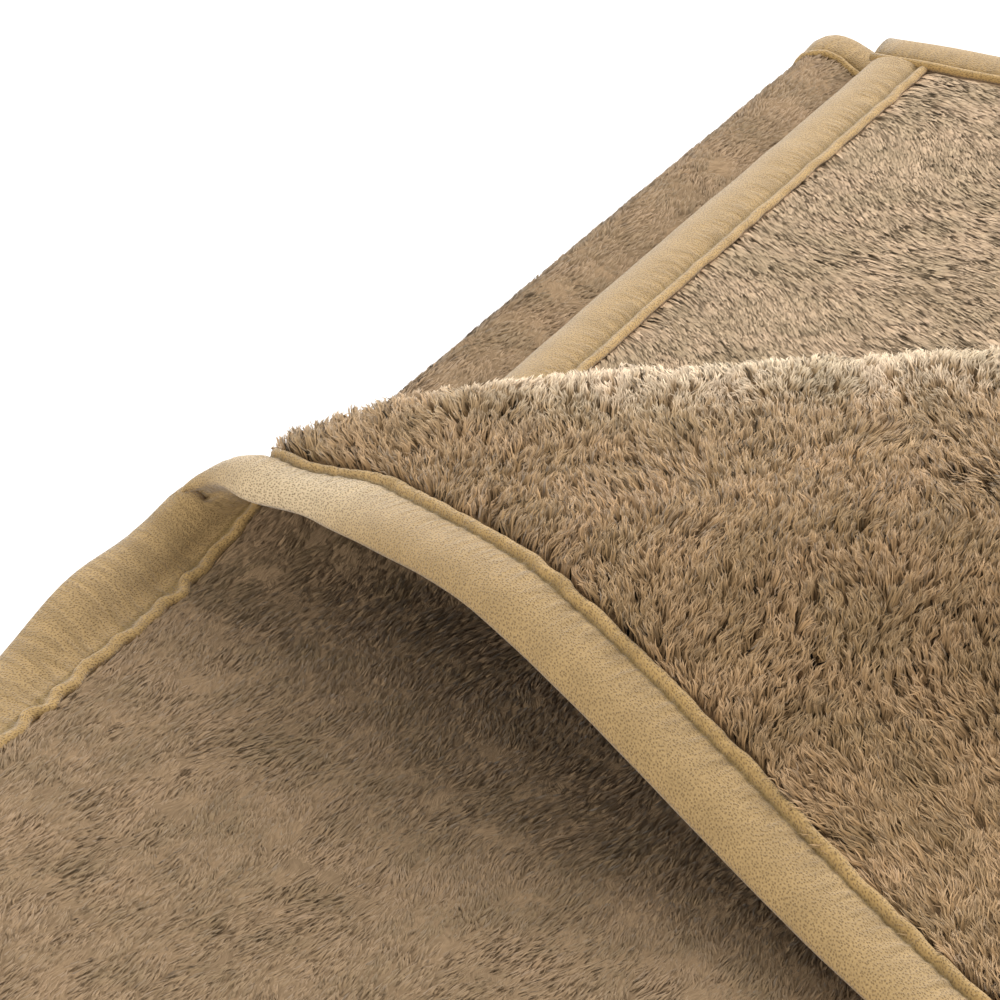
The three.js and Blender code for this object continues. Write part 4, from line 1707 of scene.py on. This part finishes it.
@dataclass
class Studio:
    """A plain pale floor and plain soft light.

    Attributes:
        floor_size: Side of the floor in metres.
        floor: Its colour.
        air: Strength of the pale surroundings.
        aim: The point that the lights face.
        lights: The lights.
    """

    floor_size: float = 8.0
    floor: Colour = (0.90, 0.90, 0.90, 1.0)
    air: float = 0.70
    aim: tuple[float, float, float] = (-0.06, 0.02, 0.02)
    lights: tuple[Softbox, ...] = (
        Softbox("back_softbox", (0.30, 1.90, 0.95), 1.2, 52.0),
        Softbox("top_softbox", (0.10, 1.10, 1.50), 0.9, 14.0),
        Softbox("side_softbox", (1.3, -0.3, 1.3), 1.4, 3.0),
        Softbox("front_softbox", (-0.75, -1.5, 0.55), 1.2, 15.0),
    )

    def make_floor(self) -> bpy.types.Object:
        """Adds the floor.

        Returns:
            The floor.
        """
        bpy.ops.object.select_all(action="DESELECT")
        bpy.ops.mesh.primitive_plane_add(size=self.floor_size, location=(0.0, 0.0, 0.0))
        floor = bpy.context.active_object
        floor.name = "studio_floor"
        made, _, shader = plain_material("studio_floor", 0.9)
        shader.inputs["Base Color"].default_value = self.floor
        floor.data.materials.append(made)
        return floor

    def make(self) -> None:
        """Adds the floor, the lights and the pale surroundings."""
        self.make_floor()
        for light in self.lights:
            light.hang(Vector(self.aim))
        world = bpy.data.worlds.new("studio_air")
        world.use_nodes = True
        air = world.node_tree.nodes["Background"]
        air.inputs["Color"].default_value = (1.0, 1.0, 1.0, 1.0)
        air.inputs["Strength"].default_value = self.air
        bpy.context.scene.view_settings.view_transform = "Standard"
        bpy.context.scene.world = world


@dataclass(frozen=True)
class BrushedPatch:
    """A place where a hand has brushed the long pile another way.

    Attributes:
        x: Its place along the fold's section, in millimetres.
        y: Its place along the fold.
        radius: How far it reaches.
        turn: Direction in which its tips point, in degrees from +X.
        press: How far it is pressed down, from 0 to 1.
    """

    x: float
    y: float
    radius: float
    turn: float
    press: float


@dataclass
class Blanket:
    """The whole blanket: ground cloth, both piles and four bindings.

    Attributes:
        cloth: The shape in which it lies.
        view: The camera.
        brushed: Where a hand has brushed the long pile.
    """

    cloth: FoldedCloth = field(default_factory=FoldedCloth)
    view: Viewpoint = field(default_factory=Viewpoint)
    brushed: tuple[BrushedPatch, ...] = (
        BrushedPatch(137.0, -18.0, 18.0, 186.0, 0.90),
        BrushedPatch(122.0, -23.0, 8.0, 196.0, 0.5),
        BrushedPatch(100.5, 49.7, 5.5, 15.0, 0.45),
        BrushedPatch(117.5, 43.5, 5.0, 205.0, 0.45),
        BrushedPatch(121.0, 24.0, 6.0, 55.0, 0.25),
        BrushedPatch(87.7, 12.5, 7.0, 80.0, 0.35),
        BrushedPatch(83.0, 2.0, 4.0, 165.0, 0.30),
        BrushedPatch(94.0, 0.5, 4.5, 62.0, 0.30),
        BrushedPatch(66.5, 16.8, 7.0, 148.0, 0.15),
        BrushedPatch(104.0, -4.0, 7.0, 72.0, 0.40),
        BrushedPatch(97.0, 28.0, 5.0, 150.0, 0.20),
    )

    def __post_init__(self) -> None:
        """Works out what the camera sees."""
        self.sight = Sight(self.cloth, self.view)

    def long_lay(self, middle: Array) -> tuple[Array, Array]:
        """Works out how the long pile lies.

        Args:
            middle: Points of the cloth, one a row.

        Returns:
            The direction of its tips in radians from +X, and how far it is pressed down.
        """
        x, y = middle[..., 0], middle[..., 1]
        swirl = 0.60 * Unevenness(44.0, 31).at(x, y) + 0.30 * Unevenness(15.0, 32).at(x, y)
        turn = math.radians(116.0) + swirl
        toward = np.stack([np.cos(turn), np.sin(turn)], -1)
        press = 0.15 * smoothstep(Unevenness(20.0, 35).at(x, y))
        for patch in self.brushed:
            share = np.exp(-((x - patch.x) ** 2 + (y - patch.y) ** 2) / patch.radius**2)
            way = math.radians(patch.turn) + 0.4 * swirl
            toward += 2.2 * share[..., None] * np.stack([np.cos(way), np.sin(way)], -1)
            press = np.maximum(press, share * patch.press)
        return np.arctan2(toward[..., 1], toward[..., 0]), press

    def combed_lay(self, middle: Array) -> tuple[Array, Array]:
        """Returns how the combed pile of the lower layers lies, as long_lay does."""
        x, y = middle[..., 0], middle[..., 1]
        return math.radians(-34.0) + 0.30 * Unevenness(40.0, 34).at(x, y), np.zeros(x.shape)

    def short_lay(self, middle: Array) -> tuple[Array, Array]:
        """Returns how the short pile lies, as long_lay does."""
        x, y = middle[..., 0], middle[..., 1]
        return math.radians(84.0) + 0.25 * Unevenness(30.0, 33).at(x, y), np.zeros(x.shape)

    def flap(self, u: Array, v: Array) -> Array:
        """Returns how far places of the top layer lie past the turning line."""
        return self.cloth.past_line(self.cloth.length - u, self.cloth.front_y + v)

    def seen(self, u: Array, v: Array, middle: Array, normal: Array) -> Array:
        """Keeps strands that the camera sees."""
        return self.sight.share(middle, normal)

    def seen_flap(self, u: Array, v: Array, middle: Array, normal: Array) -> Array:
        """Keeps strands that the camera sees on the turned-over corner."""
        return self.sight.share(middle, normal) * (self.flap(u, v) > 12.0)

    def unseen_flap(self, u: Array, v: Array, middle: Array, normal: Array) -> Array:
        """Keeps strands on the rest of the turned-over corner."""
        return (1.0 - self.sight.share(middle, normal)) * (self.flap(u, v) > 5.0)

    def seen_second(self, u: Array, v: Array, middle: Array, normal: Array) -> Array:
        """Keeps strands that the camera sees on the second layer."""
        return self.sight.share(middle, normal) * (middle[:, 1] > -5.0)

    def uncovered(self, u: Array, v: Array, middle: Array, normal: Array) -> Array:
        """Keeps strands on layers that the turned-over corner leaves open."""
        return (self.cloth.past_line(middle[:, 0], middle[:, 1]) > -8.0) & (normal[:, 2] > 0.3)

    def unseen_second(self, u: Array, v: Array, middle: Array, normal: Array) -> Array:
        """Keeps strands on the second layer outside the picture."""
        return (1.0 - self.sight.share(middle, normal)) * self.uncovered(u, v, middle, normal)

    def open_bottom(self, u: Array, v: Array, middle: Array, normal: Array) -> Array:
        """Keeps strands on the bottom layer beyond the layers that lie on it."""
        return self.uncovered(u, v, middle, normal) & (middle[:, 0] > self.cloth.inner_fold_x - 4.0)

    def areas(self) -> list[PileArea]:
        """Lays out the areas of pile.

        Returns:
            The areas, in the order of their seeds.
        """
        c = self.cloth
        standing = PileStyle(Nap.LONG, Side.LONG_PILE, 0.3, density=8.0, length=1.9, height=2.6, width=0.24,
                             lock=1.15, gather=0.66, clump=4.0, clump_gather=0.18, stray=0.22,
                             lock_turn=0.34, wave=0.3, tuft=0.55)
        standing_far = PileStyle(Nap.LONG, Side.LONG_PILE, 0.3, density=0.70, length=3.4, height=2.3,
                                 width=1.15, lock=2.3, gather=0.35, rows=2)
        combed = PileStyle(Nap.COMBED, Side.LONG_PILE, 0.5, density=6.0, length=3.6, height=0.45, width=0.48,
                           lock=1.5, gather=0.12, clump=6.0, clump_gather=0.05, rows=2, stray=0.08,
                           lock_turn=0.06, wave=0.1, tuft=0.05)
        combed_far = PileStyle(Nap.COMBED, Side.LONG_PILE, 0.5, density=0.80, length=4.2, height=0.60,
                               width=1.20, lock=2.3, gather=0.12, rows=2, stray=0.1, lock_turn=0.08,
                               tuft=0.08)
        short = PileStyle(Nap.SHORT, Side.SHORT_PILE, 1.3, density=5.0, length=1.7, height=0.40, width=0.26,
                          lock=1.2, gather=0.40, clump=6.0, clump_gather=0.1, rows=2, lock_turn=0.15,
                          wave=0.1, tuft=0.3)
        top = (c.path_end + 2.0, c.length - 5.0)
        second = (10.0, c.runs[0].length)
        bottom = (c.runs[5].start + 60.0, c.path_end - 2.0)
        shoulder = (c.runs[3].start - 2.0, c.runs[5].start + 3.0)
        rows = [
            ("long_pile", standing, top, self.long_lay, self.seen_flap),
            ("long_pile_beyond", standing_far, top, self.long_lay, self.unseen_flap),
            ("second_layer_pile", combed, second, self.combed_lay, self.seen_second),
            ("second_layer_pile_beyond", combed_far, second, self.combed_lay, self.unseen_second),
            ("bottom_layer_pile", combed_far, bottom, self.combed_lay, self.open_bottom),
            ("short_nap", short, top, self.short_lay, self.seen),
            ("shoulder_nap", short, shoulder, self.short_lay, self.seen),
        ]
        return [PileArea(name, c, *rest, seed) for seed, (name, *rest) in enumerate(rows, start=1)]

    def finishes(self) -> dict[Nap, bpy.types.Material]:
        """Makes the material of each kind of pile.

        Returns:
            The materials.
        """
        wanted = [
            # Each root colour is darker than its tip: painted shade at the base of the pile.
            PileFinish(Nap.LONG, root=(0.27, 0.158, 0.072, 1.0), middle=(0.40, 0.245, 0.116, 1.0),
                       tip=(0.55, 0.365, 0.200, 1.0), spread=0.14),
            # The combed pile's lighter colours are partly its flat lay and partly painted light on the
            # brightly lit lower layers.
            PileFinish(Nap.COMBED, root=(0.52, 0.360, 0.220, 1.0), middle=(0.56, 0.400, 0.252, 1.0),
                       tip=(0.62, 0.46, 0.305, 1.0), spread=0.07),
            PileFinish(Nap.SHORT, root=(0.215, 0.138, 0.073, 1.0), middle=(0.28, 0.187, 0.103, 1.0),
                       tip=(0.335, 0.230, 0.134, 1.0), spread=0.12, sheen=0.15),
        ]
        return {finish.nap: finish.material() for finish in wanted}

    def make(self) -> None:
        """Makes, dresses and declares every piece."""
        knit, nap = knit_group(), nap_group()
        ground = GroundCloth(self.cloth).make(ClothFinish().material(nap))
        finishes = self.finishes()
        piles = [piece for area in self.areas() for piece in area.make(finishes[area.style.nap])]
        tape = BindingFinish().material(knit)
        bindings = {edge: Binding(self.cloth, edge).make(self.view, tape) for edge in Edge}
        for piece in [ground, *piles, *bindings.values()]:
            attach(piece, "root")
        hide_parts("fleece_panel")
        for edge, piece in bindings.items():
            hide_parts(edge.value)


def main() -> None:
    """Builds the scene."""
    logging.basicConfig(level=logging.INFO, format="%(message)s")
    blanket = Blanket()
    blanket.make()
    Studio().make()
    blanket.view.make()


if __name__ == "__main__":
    main()
